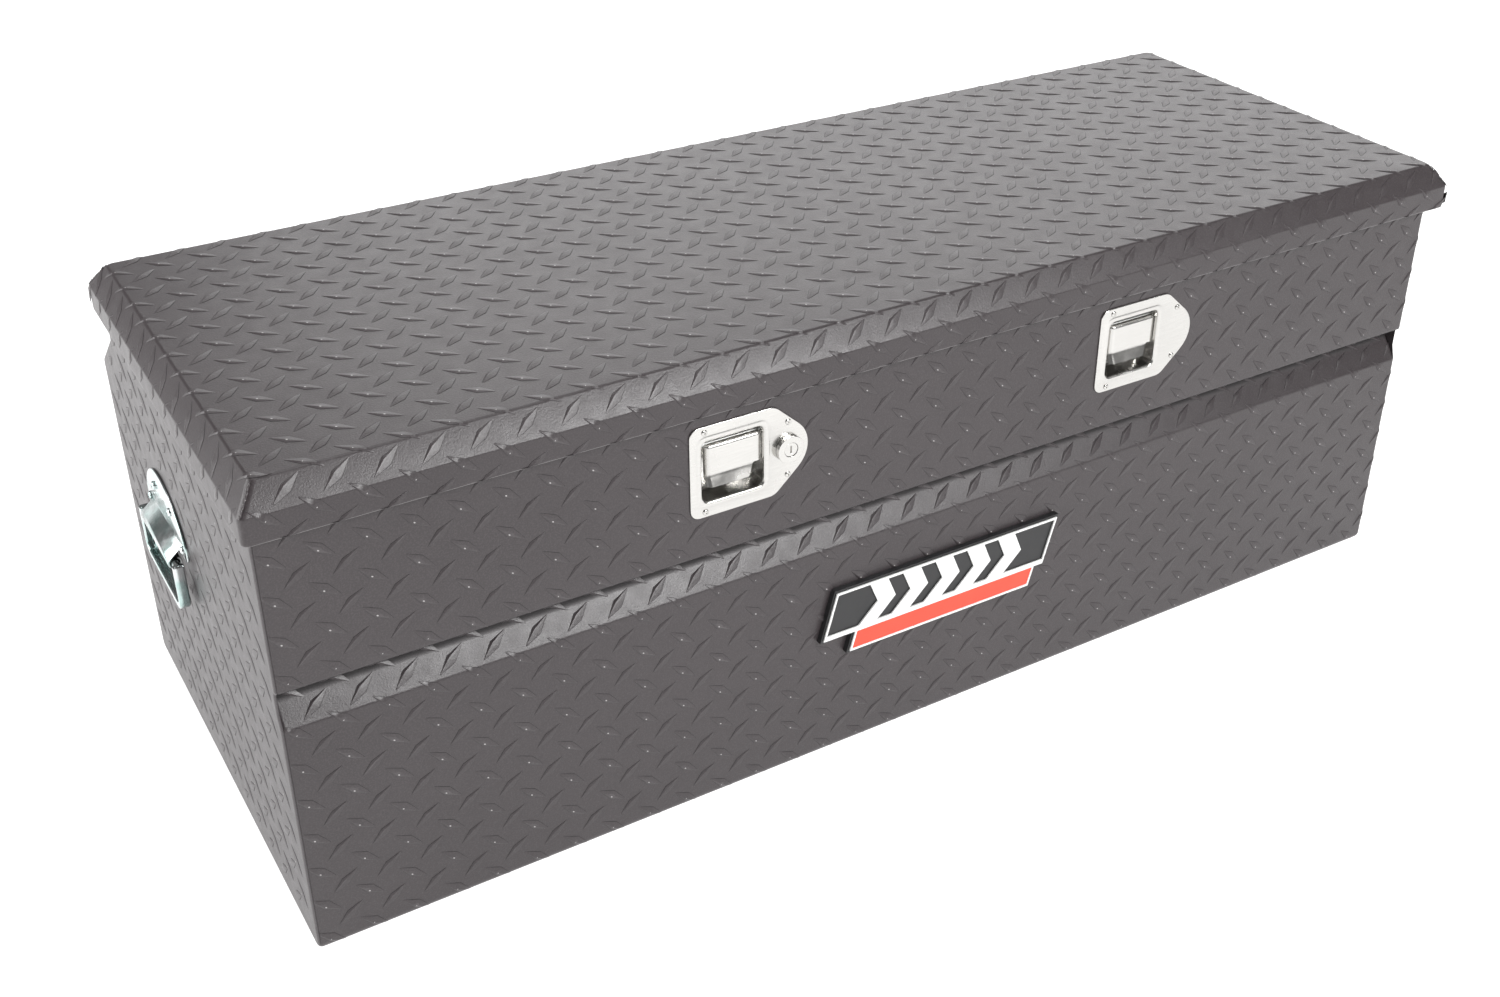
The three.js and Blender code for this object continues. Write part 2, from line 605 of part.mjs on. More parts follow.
function handlePlate(side) {
  const s = sideSign(side);
  const face = END_X + GAP;
  const span = (a, b) => [Math.min(s * a, s * b), Math.max(s * a, s * b)];
  const plate = extrudeX(handlePlateOutline(), ...span(face, face + HANDLE_PLATE_T));
  const barrelX = s * (END_X + HANDLE_BARREL_OUT);
  const [y0, y1] = [HANDLE_Y - HANDLE_BARREL_HALF, HANDLE_Y + HANDLE_BARREL_HALF];
  const barrel = cylinderY(HANDLE_BARREL_R, y0, y1, barrelX, HANDLE_BARREL_Z, 20);
  const tongue = [
    [face + 0.5, HANDLE_BARREL_Z + TONGUE_TOP - 6], [face + 0.5, HANDLE_BARREL_Z + TONGUE_TOP],
    [face + HANDLE_PLATE_T, HANDLE_BARREL_Z + TONGUE_TOP],
    [END_X + HANDLE_BARREL_OUT + 5.5, HANDLE_BARREL_Z + 4.2],
    [END_X + HANDLE_BARREL_OUT + 1, HANDLE_BARREL_Z + 5],
  ].map(([x, z]) => [s * x, z]);
  const slope = extrudeY(toShape(tongue), y0, y1);
  const bore = cylinderY(BAIL_ROD_R + GAP, y0 - 1, y1 + 1, barrelX, HANDLE_BARREL_Z, 20);
  return cut(join(plate, barrel, slope), bore);
}

// Swinging grip: a rod through the barrel, bent down into two arms and a wide grip.
function bail(side) {
  const s = sideSign(side);
  const x = s * (END_X + HANDLE_BARREL_OUT);
  const z = HANDLE_BARREL_Z;
  const rod = cylinderY(BAIL_ROD_R, HANDLE_Y - BAIL_HALF, HANDLE_Y + BAIL_HALF, x, z, 12);
  const arms = [-1, 1].map((end) =>
    cylinderZ(BAIL_ROD_R, z - BAIL_DROP, z + BAIL_ROD_R, x, HANDLE_Y + end * (BAIL_HALF - BAIL_ROD_R), 12));
  const low = z - BAIL_DROP;
  const grip = box(x - 5, x + 5, HANDLE_Y - BAIL_HALF, HANDLE_Y + BAIL_HALF, low - 5, low + 5);
  return join(rod, ...arms, grip);
}

function rivetX(side, y, z) {
  const profile = [[0, 0], [4, 0], [3.4, 1.4], [1.8, 2.2], [0, 2.4]];
  const head = new THREE.LatheGeometry(profile.map(([r, h]) => new THREE.Vector2(r, h)), 10);
  const s = sideSign(side);
  return head.rotateZ(-s * Math.PI / 2).translate(s * (END_X + HANDLE_PLATE_T + 2 * GAP), y, z);
}

for (const side of SIDES) {
  addPart(`handle_plate_${side}`, handlePlate(side), ZINC);
  addPart(`handle_bail_${side}`, bail(side), ZINC);
  HANDLE_RIVETS.forEach(([dy, dz], i) => {
    addPart(`handle_rivet_${side}_${i + 1}`, rivetX(side, HANDLE_Y + dy, HANDLE_BARREL_Z + dz), ZINC);
  });
}

// ---- gas struts ----
const STRUT_VECTOR = new THREE.Vector2(STRUT_LID.y - STRUT_BODY.y, STRUT_LID.z - STRUT_BODY.z);
const STRUT_CLOSED = STRUT_VECTOR.length();
const STRUT_ANGLE = STRUT_VECTOR.angle();

// Stands a lathe-turned piece, made along +Y, on the strut's line from its lower pivot.
function alongStrut(geometry, side) {
  return geometry.rotateX(STRUT_ANGLE).translate(sideSign(side) * STRUT_X, STRUT_BODY.y, STRUT_BODY.z);
}

const turned = (profile, sides) =>
  new THREE.LatheGeometry(profile.map(([r, h]) => new THREE.Vector2(r, h)), sides);

const STRUT_STUD_R = 4;
const STRUT_EYE_R = 8;

function strutCylinder(side) {
  const bore = STRUT_ROD_R + 0.5;
  const base = 12;
  const depth = base + 4;
  const tube = turned([
    [0, base - 6], [5, base - 6], [5, base], [STRUT_TUBE_R, base], [STRUT_TUBE_R, STRUT_TUBE_LENGTH - 3],
    [STRUT_TUBE_R - 2, STRUT_TUBE_LENGTH], [bore, STRUT_TUBE_LENGTH], [bore, depth], [0, depth],
  ], 16);
  const eye = cylinderX(STRUT_EYE_R, -4, 4, 0, 0, 16);
  const hole = cylinderX(STRUT_STUD_R + GAP, -6, 6, 0, 0, 12);
  return alongStrut(cut(join(tube, eye), hole), side);
}

function strutRod(side) {
  const start = STRUT_TUBE_LENGTH - STRUT_ROD_INSIDE + 4;
  const rod = turned([
    [0, start], [STRUT_ROD_R, start], [STRUT_ROD_R, STRUT_CLOSED - 5], [0, STRUT_CLOSED - 5],
  ], 12);
  const eye = cylinderX(STRUT_EYE_R, -4, 4, STRUT_CLOSED, 0, 16);
  return alongStrut(join(rod, eye), side);
}

function strutBodyBracket(side) {
  const s = sideSign(side);
  const span = (a, b) => [Math.min(s * a, s * b), Math.max(s * a, s * b)];
  const { y, z } = STRUT_BODY;
  const pad = box(...span(INNER_X - 3 - GAP, INNER_X - GAP), y - 20, y + 20, z - 20, z + 20);
  const stud = cylinderX(STRUT_STUD_R, ...span(STRUT_X - 7, INNER_X - 3), y, z, 12);
  const collar = cylinderX(STRUT_EYE_R, ...span(STRUT_X + 10, INNER_X - 3), y, z, 12);
  return join(pad, stud, collar);
}

// The lid end of the strut is the open pivot: its stud stops just short of the rod's eye.
function strutLidBracket(side) {
  const s = sideSign(side);
  const span = (a, b) => [Math.min(s * a, s * b), Math.max(s * a, s * b)];
  const { y, z } = STRUT_LID;
  const top = LID_UNDERSIDE - GAP;
  const plate = box(...span(STRUT_X + 11, STRUT_X + 14), y - 14, y + 14, z - 10, top);
  const foot = box(...span(STRUT_X - 14, STRUT_X + 14), y - 14, y + 14, top - 2.5, top);
  const stud = cylinderX(STRUT_STUD_R, ...span(STRUT_X + 5, STRUT_X + 12), y, z, 12);
  return join(plate, foot, stud);
}

for (const side of SIDES) {
  addPart(`strut_cylinder_${side}`, strutCylinder(side), DARK_STEEL);
  addPart(`strut_rod_${side}`, strutRod(side), STEEL);
  addPart(`strut_bracket_body_${side}`, strutBodyBracket(side), STEEL);
  addPart(`strut_bracket_lid_${side}`, strutLidBracket(side), STEEL);
}

// ---- badge ----
// A leaning plain emblem on the lower front: a black base, a white face with a row of chevrons cut out
// of it, and a red stripe set into the face's lower tab.
const BADGE_X = 8;
const BADGE_Z = 173;
const BADGE_LEAN = 0.28;         // sideways shift per unit of height
const BADGE_BASE_T = 6.5;
const BADGE_FACE_T = 2;
const BADGE_FIELD = { x: 148, low: -19, high: 42 };
const BADGE_TAB = { left: -108, right: 136, low: -43 };
const CHEVRON = { count: 5, first: -92, pitch: 42, width: 23, point: 17, margin: 5 };

const lean = ([x, z]) => [BADGE_X + x + BADGE_LEAN * z, BADGE_Z + z];

function badgeOutline(inset) {
  const { x, low, high } = BADGE_FIELD;
  const { left, right, low: tabLow } = BADGE_TAB;
  const end = x - inset;
  return [
    [left + inset, tabLow + inset], [right - inset, tabLow + inset], [right - inset, low + inset],
    [end, low + inset], [end, high - inset], [-end, high - inset], [-end, low + inset],
    [left + inset, low + inset],
  ].map(lean);
}

// The dark windows left between one chevron and the next.
function badgeWindows() {
  const { x, low, high } = BADGE_FIELD;
  const { count, first, pitch, width, point, margin } = CHEVRON;
  const bottom = low + margin + 3;
  const top = high - margin;
  const middle = (bottom + top) / 2;
  const bent = (at) => [[at, bottom], [at + point, middle], [at, top]];
  const straight = (at) => [[at, bottom], [at, top]];
  const windows = [];
  for (let k = 0; k <= count; k += 1) {
    const before = first + (k - 1) * pitch + width / 2;
    const after = first + k * pitch - width / 2;
    const left = k === 0 ? straight(-x + margin) : bent(before);
    const right = k === count ? straight(x - margin) : bent(after);
    windows.push(left.reverse().concat(right).reverse().map(lean));
  }
  return windows;
}

function badgeStripe(inset) {
  const { left, right, low } = BADGE_TAB;
  const sides = [left + 5 + inset, right - 5 - inset, low + 5 + inset, BADGE_FIELD.low + 2 - inset];
  const [x0, x1, z0, z1] = sides;
  return [[x0, z0], [x1, z0], [x1, z1], [x0, z1]].map(lean);
}

const BADGE_STEP = BODY_FRONT - GAP - BADGE_BASE_T;
const slab = (points, thick) => extrudeY(toShape(points), BADGE_STEP - GAP - thick, BADGE_STEP - GAP);
const badgeCuts = badgeWindows().concat([badgeStripe(0)]).map((points) => slab(points, BADGE_FACE_T * 3)
  .translate(0, BADGE_FACE_T, 0));

addPart('badge_plate', extrudeY(toShape(badgeOutline(0)), BADGE_STEP, BODY_FRONT - GAP), BLACK_PLASTIC);
addPart('badge_face', cut(slab(badgeOutline(2.5), BADGE_FACE_T), ...badgeCuts), WHITE_PLASTIC);
addPart('badge_stripe', slab(badgeStripe(GAP), BADGE_FACE_T * 0.8), RED_PLASTIC);

export default root;
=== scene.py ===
"""Looks for the truck tool box.

Tread-plate sheets with real raised lozenges, stainless latches and zinc handles replace their CAD solids.
Every other CAD node gets a procedural material and softened edges.
"""
import math
import random

import bmesh
import bpy
from mathutils import Matrix, Vector


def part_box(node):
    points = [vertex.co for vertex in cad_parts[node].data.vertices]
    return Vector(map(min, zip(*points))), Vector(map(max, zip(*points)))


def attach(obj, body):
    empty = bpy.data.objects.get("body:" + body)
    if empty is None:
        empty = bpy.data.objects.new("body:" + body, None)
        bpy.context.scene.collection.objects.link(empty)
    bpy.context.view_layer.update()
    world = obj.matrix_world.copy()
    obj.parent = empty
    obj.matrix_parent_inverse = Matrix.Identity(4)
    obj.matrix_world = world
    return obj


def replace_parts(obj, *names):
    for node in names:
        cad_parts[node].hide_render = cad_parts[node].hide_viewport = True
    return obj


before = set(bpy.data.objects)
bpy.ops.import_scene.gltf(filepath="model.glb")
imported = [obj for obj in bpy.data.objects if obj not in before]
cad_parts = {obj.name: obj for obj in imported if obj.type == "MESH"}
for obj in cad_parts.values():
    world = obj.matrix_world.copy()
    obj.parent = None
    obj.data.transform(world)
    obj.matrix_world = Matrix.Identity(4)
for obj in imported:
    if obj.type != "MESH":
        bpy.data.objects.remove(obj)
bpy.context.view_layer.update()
MM = 0.001
SIDES = ("left", "right")
rng = random.Random(7)


def sign(side):
    return -1 if side == "left" else 1


def lerp(a, b, t):
    return a + (b - a) * t


def clamp(value, low, high):
    return max(low, min(high, value))


# ---- places taken from the frame
lid_lo, lid_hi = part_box("lid_shell")
front_lo, front_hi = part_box("front_panel")
LID_HALF, LID_BACK, LID_TOP = lid_hi
LID_FRONT, SKIRT_BOTTOM = lid_lo[1], lid_lo[2]
LID_DEPTH, LID_MID_Y = LID_BACK - LID_FRONT, (LID_BACK + LID_FRONT) / 2
END_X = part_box("right_end_panel")[1][0]
BODY_FRONT, BODY_BACK = front_lo[1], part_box("rear_panel")[1][1]
BODY_HALF, WALL_TOP = front_hi[0], front_hi[2]
UPRIGHT_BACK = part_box("hinge_body_leaf")[0][1] - 0.3 * MM
PADDLE_BOXES = {side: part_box(f"paddle_{side}") for side in SIDES}
LATCH_CENTRE = {side: (lo[0] + hi[0]) / 2 for side, (lo, hi) in PADDLE_BOXES.items()}
latch_lo, latch_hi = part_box("latch_dish_left")
LATCH_Z = (latch_lo[2] + latch_hi[2]) / 2
PLATE_FRONT, RECESS_BACK = latch_lo[1], latch_hi[1]

# ---- the sheets' own sizes, as in the CAD
SHEET = 2 * MM
CORNER_R = 5 * MM                # the body's rounded vertical corners
BASE_BEND = 10 * MM
FLOOR_FLANGE = 34 * MM
CREASE_BOTTOM, CREASE_ROOT, CREASE_TOP = 265.5 * MM, 300.5 * MM, 306 * MM
CREASE_DEPTH = 26 * MM
SHOULDER_BOTTOM, SHOULDER_TOP = 384 * MM, 438 * MM
BEVEL_RUN, BEVEL_DROP = 18 * MM, 24.5 * MM
SKIRT = LID_TOP - BEVEL_DROP - SKIRT_BOTTOM


# ---- mesh helpers
def keep_sharp(mesh, degrees):
    """Marks edges sharper than this, so that flat faces stay flat and bends stay smooth."""
    bm = bmesh.new()
    bm.from_mesh(mesh)
    limit = math.radians(degrees)
    for edge in bm.edges:
        if len(edge.link_faces) == 2:
            edge.smooth = edge.calc_face_angle(0) < limit
    bm.to_mesh(mesh)
    bm.free()


def new_object(name, bm, mat, sharp=None):
    """Turns a bmesh into a smooth-shaded object. Edges over sharp degrees stay sharp."""
    mesh = bpy.data.meshes.new(name)
    bm.to_mesh(mesh)
    bm.free()
    obj = bpy.data.objects.new(name, mesh)
    bpy.context.scene.collection.objects.link(obj)
    mesh.materials.append(mat)
    for poly in mesh.polygons:
        poly.use_smooth = True
    if sharp:
        keep_sharp(mesh, sharp)
    return obj


def shell(name, bm, mat, sharp):
    """new_object for a closed shape, with its faces turned outwards first."""
    bmesh.ops.recalc_face_normals(bm, faces=bm.faces)
    return new_object(name, bm, mat, sharp)


def modify(obj, kind, **values):
    mod = obj.modifiers.new(kind.lower(), kind)
    for key, value in values.items():
        setattr(mod, key, value)


def loft(bm, loops, close_first=False, close_last=False):
    """Bridges closed loops of equal length with quads. Returns the loops as bmesh vertices."""
    rows = [[bm.verts.new(p) for p in loop] for loop in loops]
    count = len(rows[0])
    for low, high in zip(rows, rows[1:]):
        for k in range(count):
            n = (k + 1) % count
            bm.faces.new((low[k], low[n], high[n], high[k]))
    if close_first:
        bm.faces.new(list(reversed(rows[0])))
    if close_last:
        bm.faces.new(rows[-1])
    return rows


def circle(centre, side, other, radius, count):
    """Points round centre, in the plane of the two unit vectors side and other."""
    loop = []
    for k in range(count):
        angle = 2 * math.pi * k / count
        loop.append(centre + (side * math.cos(angle) + other * math.sin(angle)) * radius)
    return loop


def heading(points, i):
    """The unit vector along a row of points at point i."""
    return (points[min(i + 1, len(points) - 1)] - points[max(i - 1, 0)]).normalized()


def tube(bm, points, radii, sides):
    """A closed tube along points, with one radius per point."""
    loops = []
    side = None
    for i, point in enumerate(points):
        ahead = heading(points, i)
        if side is None:
            side = ahead.orthogonal().normalized()
        side = (side - ahead * side.dot(ahead)).normalized()
        loops.append(circle(point, side, ahead.cross(side), radii[i], sides))
    loft(bm, loops, close_first=True, close_last=True)


def lathe(bm, profile, centre, axis, sides=48):
    """A turned piece: profile of (radius, distance along axis), starting and ending near the axis."""
    side = axis.orthogonal().normalized()
    loops = [circle(centre + axis * h, side, axis.cross(side), r, sides) for r, h in profile]
    loft(bm, loops, close_first=True, close_last=True)


def quarter(radius, steps, first=0.0):
    """A quarter turn of an edge's rounding, as (fall to the side, fall to the back) pairs."""
    for k in range(steps + 1):
        angle = lerp(first, math.pi / 2, k / steps)
        yield radius * (1 - math.cos(angle)), radius * (1 - math.sin(angle))


def rounded_path(corners, steps=6):
    """An open 2D path of (a, b, radius) corners, with each corner turned into an arc."""
    path = []
    for i, corner in enumerate(corners):
        here = Vector(corner[:2])
        radius = corner[2] if len(corner) > 2 else 0
        if not radius or i in (0, len(corners) - 1):
            path.append(here)
            continue
        back = (Vector(corners[i - 1][:2]) - here).normalized()
        ahead = (Vector(corners[i + 1][:2]) - here).normalized()
        half = math.acos(clamp(back.dot(ahead), -1, 1)) / 2
        centre = here + (back + ahead).normalized() * radius / math.sin(half)
        start = here + back * radius / math.tan(half) - centre
        end = here + ahead * radius / math.tan(half) - centre
        sweep_angle = math.atan2(start.x * end.y - start.y * end.x, start.dot(end))
        for k in range(steps + 1):
            turn = Matrix.Rotation(sweep_angle * k / steps, 2)
            path.append(centre + turn @ start)
    return path


def rounded_polygon(corners, steps=8):
    """A closed outline with every corner rounded; corners are (a, b, radius)."""
    wrapped = [corners[-1]] + list(corners) + [corners[0]]
    points = []
    for k in range(1, len(wrapped) - 1):
        arc = rounded_path([wrapped[k - 1][:2], wrapped[k], wrapped[k + 1][:2]], steps)
        points += arc[1:-1]
    return points


def inset_outline(outline, distance):
    """The closed anticlockwise outline moved inwards by distance, corner by corner."""
    count = len(outline)
    moved = []
    for k, here in enumerate(outline):
        back = (here - outline[k - 1]).normalized()
        ahead = (outline[(k + 1) % count] - here).normalized()
        n0, n1 = Vector((-back.y, back.x)), Vector((-ahead.y, ahead.x))
        mitre = (n0 + n1).normalized()
        moved.append(here + mitre * distance / max(mitre.dot(n0), 0.5))
    return moved


def inside(point, outline):
    """True if the point lies in the closed outline."""
    odd = False
    for a, b in zip(outline, outline[1:] + outline[:1]):
        if (a.y > point.y) != (b.y > point.y):
            if point.x < a.x + (point.y - a.y) * (b.x - a.x) / (b.y - a.y):
                odd = not odd
    return odd


class Profile:
    """A bent sheet's section: arc length along a 2D path to position and outward normal."""

    def __init__(self, corners, outward=1, steps=6):
        self.path = rounded_path(corners, steps)
        self.at = [0.0]
        for a, b in zip(self.path, self.path[1:]):
            self.at.append(self.at[-1] + (b - a).length)
        self.length = self.at[-1]
        flat = [(b - a).normalized() for a, b in zip(self.path, self.path[1:])]
        flat = [Vector((-d.y, d.x)) * outward for d in flat]
        self.normals = [(flat[max(i - 1, 0)] + flat[min(i, len(flat) - 1)]).normalized()
                        for i in range(len(self.path))]

    def sample(self, s):
        """Position and normal at arc length s."""
        k = 0
        while k < len(self.at) - 2 and self.at[k + 1] < s:
            k += 1
        t = clamp((s - self.at[k]) / (self.at[k + 1] - self.at[k]), 0.0, 1.0)
        place = self.path[k].lerp(self.path[k + 1], t)
        normal = self.normals[k].lerp(self.normals[k + 1], t)
        return place, normal.normalized()

    def bends_near(self, s, reach):
        """True if the path turns within reach of s."""
        return any(abs(at - s) < reach for at in self.at[1:-1])


# ---- materials
class Nodes:
    """Short ways to add and join nodes in one material."""

    def __init__(self, name):
        self.mat = bpy.data.materials.new(name)
        self.mat.use_nodes = True
        self.tree = self.mat.node_tree
        self.shader = self.tree.nodes["Principled BSDF"]
        self.coords = self.add("ShaderNodeTexCoord").outputs["Object"]

    def add(self, kind, **values):
        node = self.tree.nodes.new(kind)
        for key, value in values.items():
            setattr(node, key, value)
        return node

    def feed(self, socket, value):
        """Links another node's output to the socket, or sets a constant on it."""
        if isinstance(value, bpy.types.NodeSocket):
            self.tree.links.new(value, socket)
        else:
            socket.default_value = value

    def noise(self, scale, detail=3, roughness=0.5, stretch=None):
        node = self.add("ShaderNodeTexNoise")
        node.inputs["Scale"].default_value = scale
        node.inputs["Detail"].default_value = detail
        node.inputs["Roughness"].default_value = roughness
        source = self.coords
        if stretch:
            mapping = self.add("ShaderNodeMapping")
            mapping.inputs["Scale"].default_value = stretch
            self.feed(mapping.inputs["Vector"], source)
            source = mapping.outputs["Vector"]
        self.feed(node.inputs["Vector"], source)
        return node.outputs["Fac"]

    def span(self, source, low, high, to_low, to_high):
        """Maps low..high to to_low..to_high, clamped."""
        node = self.add("ShaderNodeMapRange")
        for socket, value in (("Value", source), ("From Min", low), ("From Max", high),
                              ("To Min", to_low), ("To Max", to_high)):
            self.feed(node.inputs[socket], value)
        return node.outputs["Result"]

    def uneven(self, scale, detail, low, high):
        """A roughness that wanders between low and high."""
        return self.span(self.noise(scale, detail), 0.3, 0.7, low, high)

    def mix(self, factor, low, high):
        """Colour mix; low and high are colours or sockets."""
        node = self.add("ShaderNodeMix", data_type="RGBA")
        self.feed(node.inputs["Factor"], factor)
        for socket, value in ((node.inputs[6], low), (node.inputs[7], high)):
            self.feed(socket, (*value, 1) if isinstance(value, tuple) else value)
        return node.outputs[2]

    def combine(self, operation, a, b):
        node = self.add("ShaderNodeMath", operation=operation)
        self.feed(node.inputs[0], a)
        self.feed(node.inputs[1], b)
        return node.outputs[0]

    def bump(self, height, strength, distance, after=None):
        node = self.add("ShaderNodeBump")
        node.inputs["Strength"].default_value = strength
        node.inputs["Distance"].default_value = distance
        self.feed(node.inputs["Height"], height)
        if after:
            self.feed(node.inputs["Normal"], after)
        return node.outputs["Normal"]

    def finish(self, color, roughness, normal=None, **constants):
        self.feed(self.shader.inputs["Base Color"], color)
        self.feed(self.shader.inputs["Roughness"], roughness)
        if normal:
            self.feed(self.shader.inputs["Normal"], normal)
        for socket, value in constants.items():
            self.shader.inputs[socket.replace("_", " ")].default_value = value
        return self.mat


# The sheets' per-vertex attribute tells the paint what it lies on: rubbed crests and welds, painted shade,
# painted highlights. Flat sheet is 0.
# the foot and toe values paint shade round each lozenge's foot, the apex value paints a glint, and the crest
# value rubs the paint
LOZENGE_FOOT_SHADE, LOZENGE_TOE_SHADE, WEAR_CREST, PAINTED_APEX_GLINT = -1, -0.5, 1, 2
# the lip value paints the shadow under the front crease's lip; the rim value rubs the lid's bottom edge and
# paints a highlight line on it
PAINTED_LIP_SHADOW, RIM_WEAR_AND_HIGHLIGHT = -0.62, 1.84
# weld ripples: plain, rubbed, and rubbed with part of the painted highlight colour
WELD_WEAR_AND_GLINT = (0.3, 1.0, 1.86)
COAT_DARK, COAT_LIGHT = (0.0340, 0.0278, 0.0296), (0.0400, 0.0330, 0.0350)
COAT_SPECKLE, COAT_WORN = (0.074, 0.064, 0.067), (0.10, 0.09, 0.093)
# the crease colour is painted shade and the bright colour a painted highlight
COAT_CREASE_SHADE, COAT_PAINTED_HIGHLIGHT = (0.010, 0.009, 0.0095), (0.40, 0.385, 0.385)


def powder_coat():
    """Semi-matt grey powder coat with a pebbled grain and rubbed crests, with painted shade round each
    lozenge's foot and under the front crease's lip, and painted highlights on some apexes, weld ripples and the
    lid's rim.
    """
    n = Nodes("powder_coat")
    color = n.mix(n.span(n.noise(5, 4), 0.3, 0.7, 0, 1), COAT_DARK, COAT_LIGHT)
    color = n.mix(n.span(n.noise(620, 2, 0.6), 0.45, 0.72, 0, 0.5), color, COAT_SPECKLE)
    wear_and_painted_light = n.add("ShaderNodeAttribute", attribute_name="wear_and_painted_light").outputs["Fac"]
    # painted shade round the lozenges' feet and under the front crease's lip; it also roughens the coat there
    crease = n.span(wear_and_painted_light, -0.7, -0.3, 0.9, 0)
    color = n.mix(crease, color, COAT_CREASE_SHADE)
    patches = n.span(n.noise(38, 5, 0.6), 0.45, 0.68, 0, 0.5)
    crest = n.span(wear_and_painted_light, 0.75, 1, 0, 1)
    color = n.mix(n.combine("MULTIPLY", crest, patches), color, COAT_WORN)
    # painted highlights: glints on lozenge apexes and weld ripples, and a line along the lid's rim
    color = n.mix(n.span(wear_and_painted_light, 1.8, 1.93, 0, 1), color, COAT_PAINTED_HIGHLIGHT)
    rough = n.combine("ADD", n.uneven(60, 4, 0.34, 0.41), n.combine("MULTIPLY", crease, 0.5))
    coarse = n.bump(n.noise(560, 2, 0.6), 0.5, 0.35 * MM)
    normal = n.bump(n.noise(1100, 2, 0.6), 0.4, 0.2 * MM, coarse)
    return n.finish(color, rough, normal, Specular_IOR_Level=0.5)


def brushed_stainless():
    n = Nodes("brushed_stainless")
    brush = n.noise(1, 4, 0.6, stretch=(60, 900, 900))
    color = n.mix(brush, (0.53, 0.52, 0.50), (0.64, 0.63, 0.61))
    return n.finish(color, n.uneven(30, 3, 0.16, 0.30), n.bump(brush, 0.10, 0.05 * MM), Metallic=1.0)


def bright_zinc():
    n = Nodes("bright_zinc")
    tint = n.span(n.noise(28, 3, 0.55), 0.4, 0.65, 0, 1)
    color = n.mix(tint, (0.66, 0.69, 0.69), (0.42, 0.56, 0.54))
    normal = n.bump(n.noise(140, 3), 0.25, 0.25 * MM)
    return n.finish(color, n.uneven(90, 3, 0.12, 0.24), normal, Metallic=1.0)


def mottled(name, tint, dark, light, uneven, grain, **constants):
    """A mottled colour, an uneven roughness and a fine grain.

    tint is (scale, detail, roughness) of the mottling, uneven is (scale, detail, low, high) of the roughness,
    and grain is (scale, detail, strength, distance) of the bump.
    """
    n = Nodes(name)
    scale, detail, strength, distance = grain
    color = n.mix(n.noise(*tint), dark, light)
    normal = n.bump(n.noise(scale, detail), strength, distance)
    return n.finish(color, n.uneven(*uneven), normal, **constants)


def plastic(name, dark, light, low, high):
    return mottled(name, (25, 4), dark, light, (150, 3, low, high), (700, 2, 0.10, 0.08 * MM))


COAT = powder_coat()
STAINLESS = brushed_stainless()
ZINC = bright_zinc()
STEEL = mottled("dull_zinc", (70, 5, 0.65), (0.42, 0.43, 0.43), (0.60, 0.60, 0.59),
                (45, 4, 0.30, 0.46), (500, 3, 0.12, 0.1 * MM), Metallic=1.0)
RUBBER = mottled("seal_rubber", (300, 4, 0.7), (0.012, 0.012, 0.013), (0.03, 0.03, 0.031),
                 (120, 3, 0.72, 0.9), (900, 3, 0.4, 0.2 * MM))
STRUT_BLACK = mottled("strut_paint", (40, 3), (0.012, 0.012, 0.013), (0.022, 0.022, 0.024),
                      (80, 3, 0.22, 0.34), (350, 2, 0.05, 0.1 * MM))
BADGE_BLACK = plastic("badge_black", (0.010, 0.010, 0.011), (0.02, 0.02, 0.021), 0.3, 0.42)
BADGE_WHITE = plastic("badge_white", (0.78, 0.78, 0.77), (0.86, 0.86, 0.85), 0.25, 0.36)
BADGE_RED = plastic("badge_red", (0.80, 0.055, 0.025), (0.88, 0.075, 0.035), 0.28, 0.4)


# ---- raised lozenges
PITCH_A, PITCH_B = 42.6 * MM, 41.2 * MM
LOZENGE_LEAN = math.radians(38.5)
LOZENGE_HALF = 19.2 * MM
LENGTH_SPREAD = (0.97, 1.03)
HALF_WIDTH, TIP_HALF_WIDTH = 5.0 * MM, 0.3 * MM
LOZENGE_HEIGHT, LOZENGE_SINK = 1.3 * MM, 0.25 * MM
TAPER_POWER = 0.8                # how the height falls off towards the tips
CREST_SHIFT, CREST_HALF_WIDTH = 0.4, 0.08        # parts of the half width
TOE, TOE_RISE = 0.35 * MM, 0.3 * MM
TOE_LIMIT, TOE_RISE_LIMIT = 0.2, 0.4             # parts of the half width and of the height
FACET_ANGLE = 17
LOZENGE_STATIONS, BEND_STATIONS = 7, 15
TREAD_MARGIN = 4 * MM
END_REACH = 0.86                 # the part of a lozenge that has to fit on an end panel
FRONT_PHASE_A = -666.2 * MM      # the front's columns, where the photograph has them
REAR_PHASE_B = 20 * MM
END_PHASE_A, END_PHASE_B = 10 * MM, 30 * MM
LID_PHASE_B = -(LID_DEPTH / 2 - BEVEL_RUN + 14 * MM)


